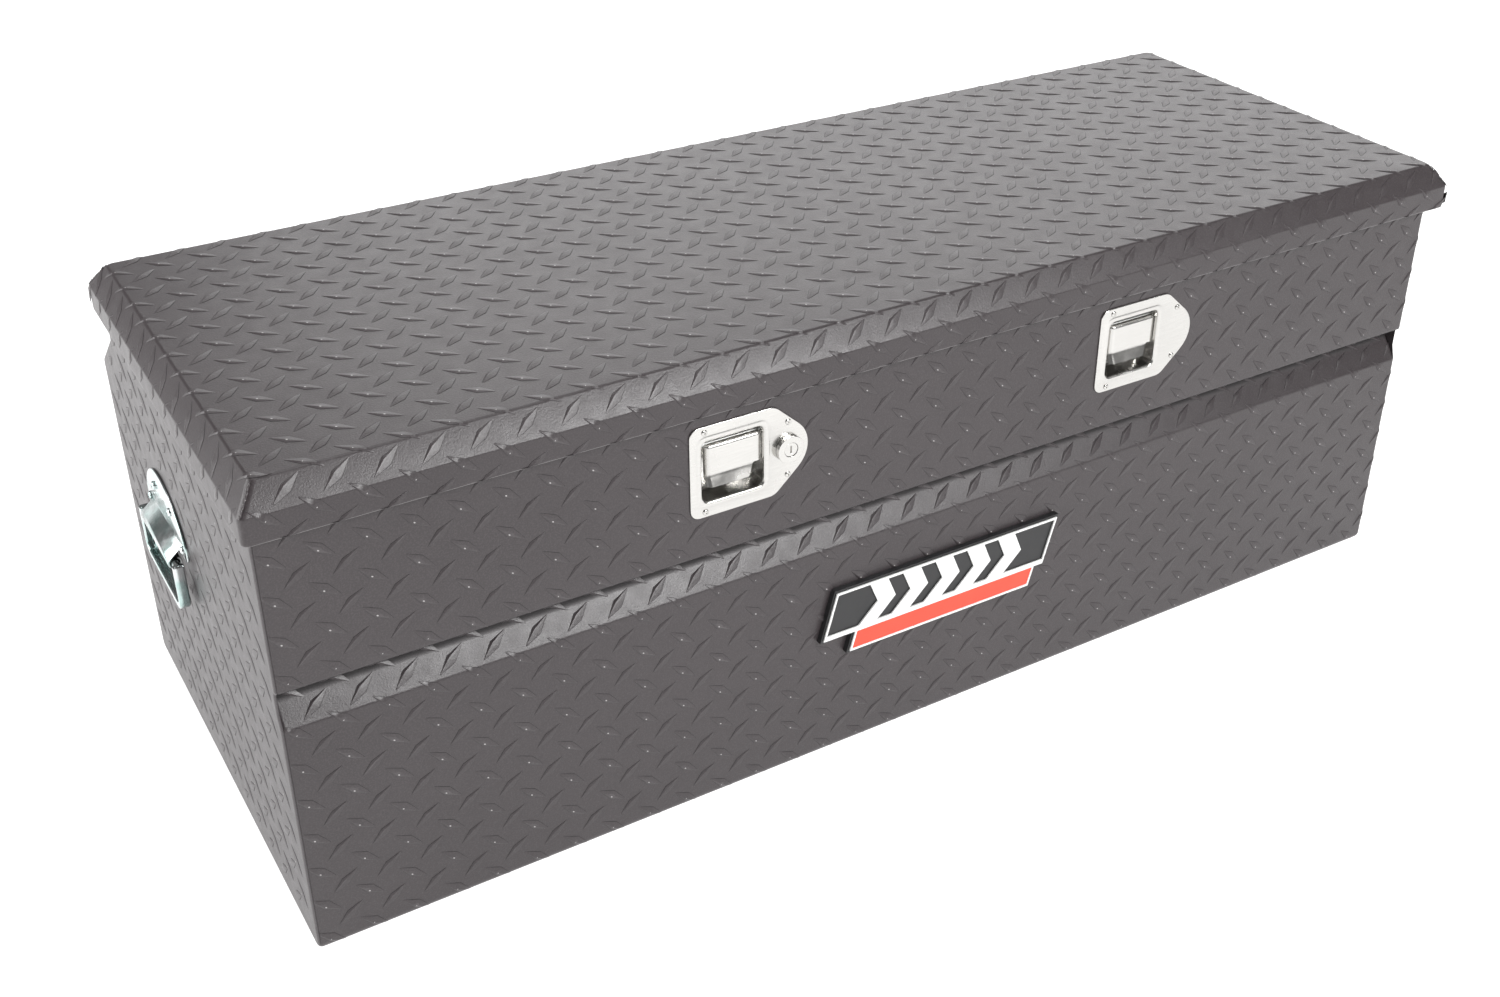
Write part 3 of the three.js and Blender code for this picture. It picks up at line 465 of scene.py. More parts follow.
def lozenge(bm, place, centre, way, stations, wear_and_painted_light):
    """One raised lozenge, leaning way (1 or -1). place maps sheet (a, b, height) to a point in space."""
    along = Vector((math.cos(LOZENGE_LEAN * way), math.sin(LOZENGE_LEAN * way)))
    across = Vector((-along.y, along.x))
    scale = rng.uniform(*LENGTH_SPREAD)

    def vert(t, w, h, coat_mark):
        flat = centre + along * (t * LOZENGE_HALF * scale) + across * w
        v = bm.verts.new(place(flat.x, flat.y, h))
        v[wear_and_painted_light] = coat_mark
        return v

    tip_a = vert(-1, 0, -LOZENGE_SINK, LOZENGE_FOOT_SHADE)
    tip_b = vert(1, 0, -LOZENGE_SINK, LOZENGE_FOOT_SHADE)
    rows = []
    for k in range(1, stations - 1):
        t = -1 + 2 * k / (stations - 1)
        taper = 1 - abs(t)
        base = HALF_WIDTH * taper + TIP_HALF_WIDTH
        crest = base * CREST_HALF_WIDTH
        ridge = base * CREST_SHIFT * way
        height = LOZENGE_HEIGHT * taper ** TAPER_POWER
        toe = min(TOE, base * TOE_LIMIT)
        step = min(TOE_RISE, height * TOE_RISE_LIMIT)
        # the middle of each left-leaning lozenge's crest gets a painted glint
        coat_mark = PAINTED_APEX_GLINT if way < 0 and abs(t) < 0.01 else WEAR_CREST
        section = ((-base, -LOZENGE_SINK, LOZENGE_FOOT_SHADE), (toe - base, step, LOZENGE_TOE_SHADE),
                   (ridge - crest, height, coat_mark), (ridge + crest, height, coat_mark),
                   (base - toe, step, LOZENGE_TOE_SHADE), (base, -LOZENGE_SINK, LOZENGE_FOOT_SHADE))
        rows.append([vert(t, *point) for point in section])
    count = len(rows[0])
    for low, high in zip(rows, rows[1:]):
        for k in range(count):
            n = (k + 1) % count
            bm.faces.new((low[n], low[k], high[k], high[n]))
    for k in range(count):
        n = (k + 1) % count
        bm.faces.new((tip_a, rows[0][k], rows[0][n]))
        bm.faces.new((tip_b, rows[-1][n], rows[-1][k]))


def lattice(a0, a1, b0, b1, phase_a, phase_b):
    """Lozenge centres and leans in a rectangle of sheet, both leanings interleaved."""
    for way, shift in ((1, 0.0), (-1, 0.5)):
        first_i = math.ceil((a0 - phase_a) / PITCH_A - shift)
        last_i = math.floor((a1 - phase_a) / PITCH_A - shift)
        first_j = math.ceil((b0 - phase_b) / PITCH_B - shift)
        last_j = math.floor((b1 - phase_b) / PITCH_B - shift)
        for i in range(first_i, last_i + 1):
            for j in range(first_j, last_j + 1):
                centre = (phase_a + (i + shift) * PITCH_A, phase_b + (j + shift) * PITCH_B)
                yield Vector(centre), way


def in_holes(centre, holes, margin):
    return any(a0 - margin < centre.x < a1 + margin and b0 - margin < centre.y < b1 + margin
               for a0, a1, b0, b1 in holes)


def corner_drop(a):
    """How far a sheet falls back where it runs into the rounded vertical corner at x = a."""
    past = abs(a) - (END_X - CORNER_R)
    return CORNER_R - math.sqrt(CORNER_R ** 2 - past ** 2) if past > 0 else 0


def close_sheet(name, bm, base_faces):
    """Turns the faces of the lozenges outwards and makes the sheet's object."""
    bm.faces.ensure_lookup_table()
    bmesh.ops.recalc_face_normals(bm, faces=bm.faces[base_faces:])
    return new_object(name, bm, COAT, FACET_ANGLE)


def extruded_sheet(name, profile, phase_b, holes=(), tread_holes=(), lip_shadow=()):
    """A bent sheet along the body's length, with lozenges, from its section.

    holes are cut out, tread_holes only carry no lozenges, and the last argument lists arc lengths between which
    the sheet gets a painted shadow.
    """
    bm = bmesh.new()
    wear_and_painted_light = bm.verts.layers.float.new("wear_and_painted_light")
    half = BODY_HALF
    turning = [END_X - CORNER_R + k * 0.9 * MM for k in range(3)]
    a_cuts = sorted({-half, half} | {a for hole in holes for a in hole[:2]}
                    | {way * a for a in turning for way in (-1, 1)})
    b_cuts = sorted(set(profile.at) | {b for hole in holes for b in hole[2:]} | set(lip_shadow))
    grid = {}

    def corner(i, j, layer):
        key = (i, j, layer)
        if key not in grid:
            place, normal = profile.sample(b_cuts[j])
            inward = SHEET if layer else 0
            here = place - normal * (inward + corner_drop(a_cuts[i]))
            grid[key] = bm.verts.new((a_cuts[i], here.x, here.y))
            # painted shadow under the upper panel's lip, between the first and the last of these arc lengths
            if lip_shadow and lip_shadow[0] < b_cuts[j] < lip_shadow[-1]:
                grid[key][wear_and_painted_light] = PAINTED_LIP_SHADOW
        return grid[key]

    def filled(i, j):
        if not (0 <= i < len(a_cuts) - 1 and 0 <= j < len(b_cuts) - 1):
            return False
        middle = Vector(((a_cuts[i] + a_cuts[i + 1]) / 2, (b_cuts[j] + b_cuts[j + 1]) / 2))
        return not in_holes(middle, holes, 0)

    for i in range(len(a_cuts) - 1):
        for j in range(len(b_cuts) - 1):
            if not filled(i, j):
                continue
            ring = ((i, j), (i + 1, j), (i + 1, j + 1), (i, j + 1))
            bm.faces.new([corner(*c, 0) for c in ring])
            bm.faces.new([corner(*c, 1) for c in reversed(ring)])
            beside = ((i, j - 1), (i + 1, j), (i, j + 1), (i - 1, j))
            for k, cell in enumerate(beside):
                if not filled(*cell):
                    c, d = ring[k], ring[(k + 1) % 4]
                    bm.faces.new((corner(*d, 0), corner(*c, 0), corner(*c, 1), corner(*d, 1)))
    bmesh.ops.recalc_face_normals(bm, faces=bm.faces)
    base_faces = len(bm.faces)

    def place(a, b, h):
        here, normal = profile.sample(clamp(b, 0, profile.length))
        here = here + normal * (h - corner_drop(clamp(a, -half, half)))
        return Vector((clamp(a, -half, half), here.x, here.y))

    for centre, way in lattice(-half, half, FLOOR_FLANGE, profile.length, FRONT_PHASE_A, phase_b):
        if in_holes(centre, (*holes, *tread_holes), TREAD_MARGIN):
            continue
        stations = BEND_STATIONS if profile.bends_near(centre.y, LOZENGE_HALF) else LOZENGE_STATIONS
        lozenge(bm, place, centre, way, stations, wear_and_painted_light)
    return close_sheet(name, bm, base_faces)


# ---- body sheets
LATCH_HOLE = (36 * MM, 35 * MM)
ROW_IN_STRIP = 15.5 * MM         # how far up the crease's slope a row of lozenges sits
# painted shadow under the upper panel's lip: it fades in below the crease's root and out above its upper lip,
# between each two distances
LIP_SHADOW_IN, LIP_SHADOW_OUT = (19 * MM, 10 * MM), (0.6 * MM, 2.0 * MM)


def front_sheet():
    profile = Profile([
        (BODY_FRONT + FLOOR_FLANGE, 0), (BODY_FRONT, 0, BASE_BEND),
        (BODY_FRONT, CREASE_BOTTOM, 6 * MM), (BODY_FRONT + CREASE_DEPTH, CREASE_ROOT, 3 * MM),
        (BODY_FRONT, CREASE_TOP, 4 * MM), (BODY_FRONT, WALL_TOP),
    ])
    # arc length minus height, on the panel above the crease and on the one below it
    upper = profile.length - WALL_TOP
    lower = profile.at[1] + math.pi / 2 * BASE_BEND - BASE_BEND
    holes, tread_holes = [], []
    for side in SIDES:
        centre_x = LATCH_CENTRE[side]
        half_w, half_h = LATCH_HOLE
        holes.append((centre_x - half_w, centre_x + half_w, LATCH_Z - half_h + upper, LATCH_Z + half_h + upper))
        lo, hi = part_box(f"latch_dish_{side}")
        tread_holes.append((lo[0] + 4 * MM, hi[0] - 8 * MM, lo[2] + upper + 4 * MM, hi[2] + upper - 4 * MM))
    # where the painted shadow under the upper panel's lip starts and ends along the sheet
    above = [k for k, point in enumerate(profile.path) if point.y > CREASE_BOTTOM]
    deepest = max(above, key=lambda k: profile.path[k].x)
    root = profile.at[deepest]
    lip = root + (Vector((BODY_FRONT, CREASE_TOP)) - profile.path[deepest]).length
    lip_shadow = [root - below for below in LIP_SHADOW_IN] + [lip + past for past in LIP_SHADOW_OUT]
    obj = extruded_sheet("front_tread_sheet", profile, CREASE_BOTTOM + lower + ROW_IN_STRIP,
                         holes, tread_holes, lip_shadow)
    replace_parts(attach(obj, "chest"), "front_panel")


def rear_sheet():
    profile = Profile([
        (BODY_BACK - FLOOR_FLANGE, 0), (BODY_BACK, 0, BASE_BEND), (BODY_BACK, SHOULDER_BOTTOM, 8 * MM),
        (UPRIGHT_BACK, SHOULDER_TOP, 4 * MM), (UPRIGHT_BACK, WALL_TOP),
    ], outward=-1)
    obj = extruded_sheet("rear_tread_sheet", profile, REAR_PHASE_B)
    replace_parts(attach(obj, "chest"), "rear_panel")


def end_outline():
    """The end panel's outline in (y, z), anticlockwise as seen from the right end."""
    notch = BODY_FRONT + 5 * MM
    return rounded_path([
        (0, 0), (BODY_BACK, 0, BASE_BEND), (BODY_BACK, SHOULDER_BOTTOM, 12 * MM),
        (UPRIGHT_BACK, SHOULDER_TOP, 4 * MM), (UPRIGHT_BACK, WALL_TOP, 1 * MM),
        (BODY_FRONT, WALL_TOP, 1 * MM), (BODY_FRONT, CREASE_TOP, 6 * MM),
        (notch, (CREASE_ROOT + CREASE_TOP) / 2, 3 * MM), (notch, (CREASE_BOTTOM + CREASE_ROOT) / 2, 3 * MM),
        (BODY_FRONT, CREASE_BOTTOM, 6 * MM), (BODY_FRONT, 0, BASE_BEND), (0, 0),
    ], 5)[:-1]


def end_sheet(side):
    """A flat end panel with rounded edges. No lozenge is cut off by its outline."""
    s = sign(side)
    outline = end_outline()
    bm = bmesh.new()
    wear_and_painted_light = bm.verts.layers.float.new("wear_and_painted_light")
    first = math.asin((CORNER_R - SHEET) / CORNER_R)
    loops = [(corner_drop(END_X - SHEET) + 0.6 * MM, END_X - SHEET)]
    loops += [(inset, END_X - back) for inset, back in quarter(CORNER_R, 6, first)]
    rows = []
    for inset, x in loops:
        rows.append([Vector((s * x, p.x, p.y)) for p in inset_outline(outline, inset)])
    loft(bm, rows, close_first=True, close_last=True)
    bmesh.ops.recalc_face_normals(bm, faces=bm.faces)
    base_faces = len(bm.faces)
    inner = inset_outline(outline, CORNER_R)
    handle_lo, handle_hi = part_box(f"handle_plate_{side}")
    plate = [(handle_lo[1], handle_hi[1], handle_lo[2] + 8 * MM, handle_hi[2])]

    def place(a, b, h):
        return Vector((s * (END_X + h), s * a, b))

    reach = LOZENGE_HALF * END_REACH
    span = max(abs(BODY_FRONT), abs(BODY_BACK))
    for centre, way in lattice(-span, span, 0, WALL_TOP, END_PHASE_A, END_PHASE_B):
        spot = Vector((s * centre.x, centre.y))
        if in_holes(spot, plate, -TREAD_MARGIN):
            continue
        along = Vector((math.cos(LOZENGE_LEAN * way) * s, math.sin(LOZENGE_LEAN * way)))
        if all(inside(spot + along * reach * t, inner) for t in (-1, 0, 1)):
            lozenge(bm, place, centre, way, LOZENGE_STATIONS, wear_and_painted_light)
    obj = close_sheet(f"end_tread_sheet_{side}", bm, base_faces)
    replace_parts(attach(obj, "chest"), f"{side}_end_panel")


# ---- lid
LID_CORNER_R = 7 * MM
LID_CORNER_STEPS = 6
LID_EDGE_START = 60 * MM         # flat top before the bevel in the edge's section
LID_EDGE = Profile([
    (-LID_EDGE_START, 0), (0, 0, 4 * MM), (BEVEL_RUN, -BEVEL_DROP, 4 * MM),
    (BEVEL_RUN, -BEVEL_DROP - SKIRT),
])
WELD_R, WELD_PITCH = 1.25 * MM, 1.1 * MM
WELD_INSET = 1.1 * MM


def lid_ring(inset, z, corner):
    """A rounded rectangle parallel to the lid's edge."""
    x1, y0, y1 = LID_HALF - inset, LID_FRONT + inset, LID_BACK - inset
    loop = []
    for cx, cy, start in ((x1 - corner, y1 - corner, 0), (-x1 + corner, y1 - corner, 90),
                          (-x1 + corner, y0 + corner, 180), (x1 - corner, y0 + corner, 270)):
        for k in range(LID_CORNER_STEPS + 1):
            angle = math.radians(start + 90 * k / LID_CORNER_STEPS)
            loop.append(Vector((cx + corner * math.cos(angle), cy + corner * math.sin(angle), z)))
    return loop


def lid_sheet():
    bm = bmesh.new()
    wear_and_painted_light = bm.verts.layers.float.new("wear_and_painted_light")
    bottom = SKIRT_BOTTOM + 0.8 * MM
    loops = [lid_ring(BEVEL_RUN - p.x, LID_TOP + p.y, LID_CORNER_R) for p in LID_EDGE.path[1:-1]]
    loops.append(lid_ring(0, bottom + 2.4 * MM, LID_CORNER_R))
    loops.append(lid_ring(0, bottom + 2.0 * MM, LID_CORNER_R))
    rim_row = len(loops) + 1
    loops.append(lid_ring(0.1 * MM, bottom, LID_CORNER_R))
    for inset, rise in ((0.2 * MM, -0.5 * MM), (1 * MM, -0.8 * MM), (1.8 * MM, -0.5 * MM)):
        loops.append(lid_ring(inset, bottom + rise, LID_CORNER_R - inset * 0.6))
    for place, normal in reversed(list(zip(LID_EDGE.path[1:], LID_EDGE.normals[1:]))):
        inner = place - normal * SHEET
        z = max(LID_TOP + inner.y, bottom + 0.5 * MM)
        loops.append(lid_ring(BEVEL_RUN - inner.x, z, LID_CORNER_R - 1.2 * MM))
    rows = loft(bm, loops, close_first=True, close_last=True)
    # the rows round the skirt's bottom edge get rubbed patches and a painted highlight line
    for row in rows[rim_row - 1:rim_row + 2]:
        for vert in row:
            vert[wear_and_painted_light] = RIM_WEAR_AND_HIGHLIGHT
    bmesh.ops.recalc_face_normals(bm, faces=bm.faces)
    base_faces = len(bm.faces)
    half_a = LID_HALF - BEVEL_RUN
    half_b = LID_DEPTH / 2 - BEVEL_RUN
    flap = LID_EDGE.length - LID_EDGE_START

    def run(excess):
        """How far the edge runs outwards, from the distance along the sheet past the bevel's start."""
        return clamp(excess * BEVEL_RUN / math.hypot(BEVEL_RUN, BEVEL_DROP), 0, BEVEL_RUN)

    def fold(value, half):
        """Sheet distance from the middle to (distance, height, normal) across a folded edge."""
        excess = abs(value) - half
        here, normal = LID_EDGE.sample(clamp(excess + LID_EDGE_START, 0, LID_EDGE.length - 1 * MM))
        if excess < -LID_EDGE_START:
            return value, 0.0, Vector((0, 1))
        way = math.copysign(1, value)
        return way * (half + here.x), here.y, Vector((way * normal.x, normal.y))

    def place_long(a, b, h):
        """For lozenges on the top and on the front and rear edges."""
        limit = half_a + run(abs(b) - half_b)
        y, z, normal = fold(b, half_b)
        return Vector((clamp(a, -limit, limit), LID_MID_Y + y + normal.x * h, LID_TOP + z + normal.y * h))

    def place_end(a, b, h):
        """For lozenges on the end edges."""
        limit = half_b + run(abs(a) - half_a)
        x, z, normal = fold(a, half_a)
        return Vector((x + normal.x * h, LID_MID_Y + clamp(b, -limit, limit), LID_TOP + z + normal.y * h))

    for centre, way in lattice(-half_a - flap, half_a + flap, -half_b - flap, half_b + flap,
                               FRONT_PHASE_A, LID_PHASE_B):
        over_a, over_b = abs(centre.x) - half_a, abs(centre.y) - half_b
        if over_a > 0 and over_b > 0 and min(over_a, over_b) > run(max(over_a, over_b)) - 3 * MM:
            continue
        place = place_end if over_a > over_b else place_long
        near = min(abs(over_a), abs(over_b), abs(over_a - flap * 0.45), abs(over_b - flap * 0.45))
        stations = BEND_STATIONS if near < LOZENGE_HALF * 1.1 else LOZENGE_STATIONS
        lozenge(bm, place, centre, way, stations, wear_and_painted_light)
    obj = close_sheet("lid_tread_sheet", bm, base_faces)
    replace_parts(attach(obj, "lid"), "lid_shell")


def weld_bead(bm, start, end):
    """A rippled bead of weld along a line."""
    count = max(8, int((end - start).length / WELD_PITCH))
    points, radii = [], []
    for k in range(count + 1):
        t = k / count
        taper = min(1, 6 * t + 0.3, 6 * (1 - t) + 0.3)
        wobble = Vector([rng.uniform(-0.25, 0.25) * MM for _ in range(3)])
        points.append(start.lerp(end, t) + wobble)
        radii.append(WELD_R * taper * (0.85 + 0.18 * math.sin(k * 2.1) + rng.uniform(-0.08, 0.08)))
    tube(bm, points, radii, 10)


def lid_welds():
    """Beads down the four bevelled corners; some ripples have rubbed paint, some rubbed paint and a painted
    glint.
    """
    bm = bmesh.new()
    wear_and_painted_light = bm.verts.layers.float.new("wear_and_painted_light")
    for sx in (-1, 1):
        for y_out, way in ((LID_FRONT, 1), (LID_BACK, -1)):
            top = Vector((sx * (LID_HALF - BEVEL_RUN - WELD_INSET), y_out + way * (BEVEL_RUN + WELD_INSET),
                          LID_TOP - 1.0 * MM))
            bottom = Vector((sx * (LID_HALF - WELD_INSET), y_out + way * WELD_INSET,
                             LID_TOP - BEVEL_DROP - 0.5 * MM))
            weld_bead(bm, top, bottom)
    for vert in bm.verts:
        vert[wear_and_painted_light] = rng.choice(WELD_WEAR_AND_GLINT)
    obj = new_object("lid_corner_welds", bm, COAT)
    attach(obj, "lid")


# ---- latches
OUT = Vector((0, -1, 0))         # out of the front panel
PLATE_BACK = PLATE_FRONT + 1.6 * MM
PLATE_EDGE_R = 0.8 * MM
RECESS_HALF = (35.5 * MM, 34.5 * MM)
RECESS_CORNER_R, RECESS_FLOOR_R = 7 * MM, 4 * MM
RECESS_WALL = 1.6 * MM
ROLL_R, BEAD = 2.6 * MM, 0.8 * MM        # the recess's rolled rim, and how far it stands proud
RAYS, RAY_START = 144, 0.01
LATCH_SHARP, LOCK_SHARP, HANDLE_SHARP = 40, 35, 38


def resample(outline):
    """Points on an outline where evenly spread rays from the origin meet it."""
    points = []
    for k in range(RAYS):
        angle = RAY_START + 2 * math.pi * k / RAYS
        ray = Vector((math.cos(angle), math.sin(angle)))
        best = None
        for a, b in zip(outline, outline[1:] + outline[:1]):
            edge = b - a
            cross = ray.x * edge.y - ray.y * edge.x
            if abs(cross) < 1e-12:
                continue
            t = (a.x * edge.y - a.y * edge.x) / cross
            u = (a.x * ray.y - a.y * ray.x) / cross
            if t > 0 and -1e-6 <= u <= 1 + 1e-6 and (best is None or t > best):
                best = t
        points.append(ray * best)
    return points


def recess_outline(grow, radius):
    """The recess's outline moved outwards by grow."""
    w, h = RECESS_HALF[0] + grow, RECESS_HALF[1] + grow
    return rounded_polygon([(-w, -h, radius), (w, -h, radius), (w, h, radius), (-w, h, radius)])


def plate_outline(inset):
    """The latch plate: square at one end and a blunt rounded point at the other, about the recess centre."""
    left, right, shoulder, high = -47 * MM + inset, 85.5 * MM - inset, 46 * MM, 49.8 * MM - inset
    tip = right + 14.5 * MM
    return rounded_polygon([
        (left, -high, 10 * MM - inset), (shoulder, -high, 14 * MM), (tip, 0, 33 * MM),
        (shoulder, high, 14 * MM), (left, high, 10 * MM - inset),
    ])


def latch_dish(side):
    """The stainless plate with its rolled rim and pressed recess, as one closed shell."""
    def ring(outline, y):
        return [Vector((LATCH_CENTRE[side] + p.x, y, LATCH_Z + p.y)) for p in resample(outline)]

    loops = [ring(plate_outline(0.3 * MM), PLATE_BACK), ring(plate_outline(0), PLATE_BACK - 0.3 * MM)]
    for inset, back in quarter(PLATE_EDGE_R, 3):
        loops.append(ring(plate_outline(inset), PLATE_FRONT + back))
    loops.append(ring(plate_outline(1.2 * MM), PLATE_FRONT))
    for grow, radius, rise in ((3.2, 11, 0), (1.9, 10, 0.5), (0.6, 9, 1)):
        loops.append(ring(recess_outline(ROLL_R + grow * MM, radius * MM), PLATE_FRONT - BEAD * rise))
    for k in range(6):
        angle = math.pi / 2 * k / 5
        grow = ROLL_R * (1 - math.sin(angle))
        depth = ROLL_R * (1 - math.cos(angle)) - BEAD * math.cos(angle)
        outline = recess_outline(grow - RECESS_WALL, RECESS_CORNER_R + grow * 0.5)
        loops.append(ring(outline, PLATE_FRONT + depth))
    floor = RECESS_BACK - RECESS_WALL
    for inset, back in quarter(RECESS_FLOOR_R, 5):
        radius = max(RECESS_CORNER_R - inset, 2 * MM)
        loops.append(ring(recess_outline(-RECESS_WALL - inset, radius), floor - back))
    bm = bmesh.new()
    loft(bm, loops, close_last=True)
    outer = [ring(plate_outline(0.3 * MM), PLATE_BACK), ring(recess_outline(0, RECESS_CORNER_R), PLATE_BACK),
             ring(recess_outline(0, RECESS_CORNER_R), RECESS_BACK - 1 * MM),
             ring(recess_outline(-1 * MM, RECESS_CORNER_R - 1 * MM), RECESS_BACK)]
    loft(bm, [list(reversed(loop)) for loop in outer], close_last=True)
    bmesh.ops.remove_doubles(bm, verts=bm.verts, dist=1e-6)
    obj = shell(f"latch_plate_{side}", bm, STAINLESS, LATCH_SHARP)
    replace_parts(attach(obj, "chest"), f"latch_dish_{side}")


PADDLE_T = 1.5 * MM
PADDLE_FOLD_R, PADDLE_FOLD_WIDTH = 4 * MM, 5 * MM
PADDLE_ACROSS, PADDLE_DOWN = 44, 40
SCOOP_DEPTH = 13 * MM            # how much shorter the blade is at its right end


def paddle(side):
    """The pull plate: crowned, rolled over at its top and left edge, flared and scooped at the bottom."""
    lo, hi = PADDLE_BOXES[side]
    left, bottom, top = lo[0] + 4.6 * MM, lo[2], hi[2] - 2.8 * MM
    front = BODY_FRONT + 2 * MM
    width = hi[0] - left
    path = Profile([
        (front + 9 * MM, top), (front, top, 4 * MM), (front, bottom + 11 * MM, 10 * MM),
        (front - 5.4 * MM, bottom),
    ], outward=-1, steps=8)
    bm = bmesh.new()

    def spot(i, j, inward):
        u = i / PADDLE_ACROSS
        scoop = clamp((u - 0.72) / 0.16, 0, 1)
        scoop = scoop * scoop * (3 - 2 * scoop)
        here, normal = path.sample((path.length - scoop * SCOOP_DEPTH) * j / PADDLE_DOWN)
        past_fold = clamp((u * width) / PADDLE_FOLD_WIDTH, 0, 1)
        fold = PADDLE_FOLD_R * (1 - math.sin(past_fold * math.pi / 2))
        right_fold = 1.5 * MM * (1 - clamp((1 - u) * width / (3 * MM), 0, 1)) ** 2
        return left + u * width, here.x - normal.x * inward + fold + right_fold, here.y - normal.y * inward

    outer, inner = ([[bm.verts.new(spot(i, j, inward)) for i in range(PADDLE_ACROSS + 1)]
                     for j in range(PADDLE_DOWN + 1)] for inward in (0, PADDLE_T))
    for j in range(PADDLE_DOWN):
        for i in range(PADDLE_ACROSS):
            bm.faces.new((outer[j][i], outer[j][i + 1], outer[j + 1][i + 1], outer[j + 1][i]))
            bm.faces.new((inner[j][i], inner[j + 1][i], inner[j + 1][i + 1], inner[j][i + 1]))
    border = ([(j, 0) for j in range(PADDLE_DOWN)] + [(PADDLE_DOWN, i) for i in range(PADDLE_ACROSS)]
              + [(j, PADDLE_ACROSS) for j in range(PADDLE_DOWN, 0, -1)]
              + [(0, i) for i in range(PADDLE_ACROSS, 0, -1)])
    for a, b in zip(border, border[1:] + border[:1]):
        bm.faces.new((outer[a[0]][a[1]], outer[b[0]][b[1]], inner[b[0]][b[1]], inner[a[0]][a[1]]))
    obj = shell(f"paddle_blade_{side}", bm, STAINLESS, LATCH_SHARP)
    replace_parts(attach(obj, f"paddle_body_{side}"), f"paddle_{side}")


# (radius, distance from the face) of the lock ring's turned front, in mm
LOCK_FRONT = ((14.1, 1.6), (13.4, 0.5), (12.6, 0), (12.2, 0.1), (12.0, 1.6), (11.0, 2.2), (10.2, 1.2),
              (9.4, 0.7), (8.4, 0.7), (8.0, 1.5), (7.9, 2.4), (0.5, 2.4))


def lock():
    lo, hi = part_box("lock_housing")
    base = Vector(((lo[0] + hi[0]) / 2, PLATE_FRONT - 0.3 * MM, (lo[2] + hi[2]) / 2))
    height = base.y - lo[1]
    profile = [(0.5 * MM, 0), (14.4 * MM, 0), (14.5 * MM, 0.6 * MM)]
    profile += [(radius * MM, height - depth * MM) for radius, depth in LOCK_FRONT]
    bm = bmesh.new()
    lathe(bm, profile, base, OUT)
    obj = new_object("lock_ring", bm, STAINLESS, LOCK_SHARP)
    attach(obj, "chest")


def rivet(name, centre, axis, radius, height, mat, recess):
    """A domed fastener head with a driver recess of this radius."""
    dome = []
    for k in range(6):
        angle = math.pi / 2 * k / 6
        dome.append((radius * math.cos(angle) + 0.001 * MM, height * (0.2 + 0.8 * math.sin(angle))))
    top = dome[-1][1]
    profile = [(0.2 * MM, 0), (radius * 0.98, 0)] + [p for p in dome if p[0] > recess]
    profile += [(recess, top), (recess * 0.85, top - 0.9 * MM), (0.2 * MM, top - 1.0 * MM)]
    bm = bmesh.new()
    lathe(bm, profile, centre, axis, 28)
    obj = shell(name, bm, mat, HANDLE_SHARP)
    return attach(obj, "chest")


def rivets():
    for side in SIDES:
        way = sign(side)
        for k in range(1, 5):
            lo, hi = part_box(f"latch_rivet_{side}_{k}")
            spot = Vector(((lo[0] + hi[0]) / 2, PLATE_FRONT - 0.1 * MM, (lo[2] + hi[2]) / 2))
            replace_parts(rivet(f"latch_stud_{side}_{k}", spot, OUT, 3.1 * MM, 1.5 * MM,
                              STAINLESS, 0.9 * MM), f"latch_rivet_{side}_{k}")
            lo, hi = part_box(f"handle_rivet_{side}_{k}")
            spot = Vector((way * (END_X + 2.9 * MM), (lo[1] + hi[1]) / 2, (lo[2] + hi[2]) / 2))
            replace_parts(rivet(f"handle_screw_{side}_{k}", spot, Vector((way, 0, 0)), 4.6 * MM, 2.8 * MM,
                              ZINC, 2.0 * MM), f"handle_rivet_{side}_{k}")


# ---- end handles
HANDLE_T, HANDLE_GAP, HANDLE_EDGE_R = 2.5 * MM, 0.2 * MM, 0.7 * MM
AXIS_DROP = 4 * MM               # the barrel's axis below the bail's top
BARREL_R, BARREL_OUT, BARREL_HALF = 7 * MM, 11 * MM, 54 * MM
BARREL_T, BARREL_TURN = 2.0 * MM, math.radians(290)
SLOT_HALF = BARREL_HALF + 2.5 * MM
FOLD_HEIGHT = 18 * MM
ARCH_STEPS, BARREL_STEPS = 48, 40
# half of the bail's grooved section in mm, as (p, q, radius); p runs across it, and q to its outside
GRIP_HALF = ((5.4, -3.6, 1.6), (5.4, 3.6, 1.4), (2.6, 3.6, 0.8), (1.6, 1.4, 0.8))


def arch_outline(half, top):
    """The handle plate's outline about the barrel's axis: an arch, cut away below where it folds."""
    shoulder, foot = 24 * MM, 6 * MM
    rise = top - shoulder
    radius = (half ** 2 + rise ** 2) / (2 * rise)
    reach = math.asin(half / radius)
    outline = []
    for k in range(ARCH_STEPS + 1):
        angle = math.pi / 2 - reach + 2 * reach * k / ARCH_STEPS
        outline.append(Vector((radius * math.cos(angle), top - radius + radius * math.sin(angle))))
    return outline + rounded_path([
        (-half, shoulder), (-half, foot, 6 * MM), (-SLOT_HALF, foot, 2.5 * MM), (-SLOT_HALF, FOLD_HEIGHT),
        (SLOT_HALF, FOLD_HEIGHT), (SLOT_HALF, foot, 2.5 * MM), (half, foot, 6 * MM), (half, shoulder),
    ])[1:-1]


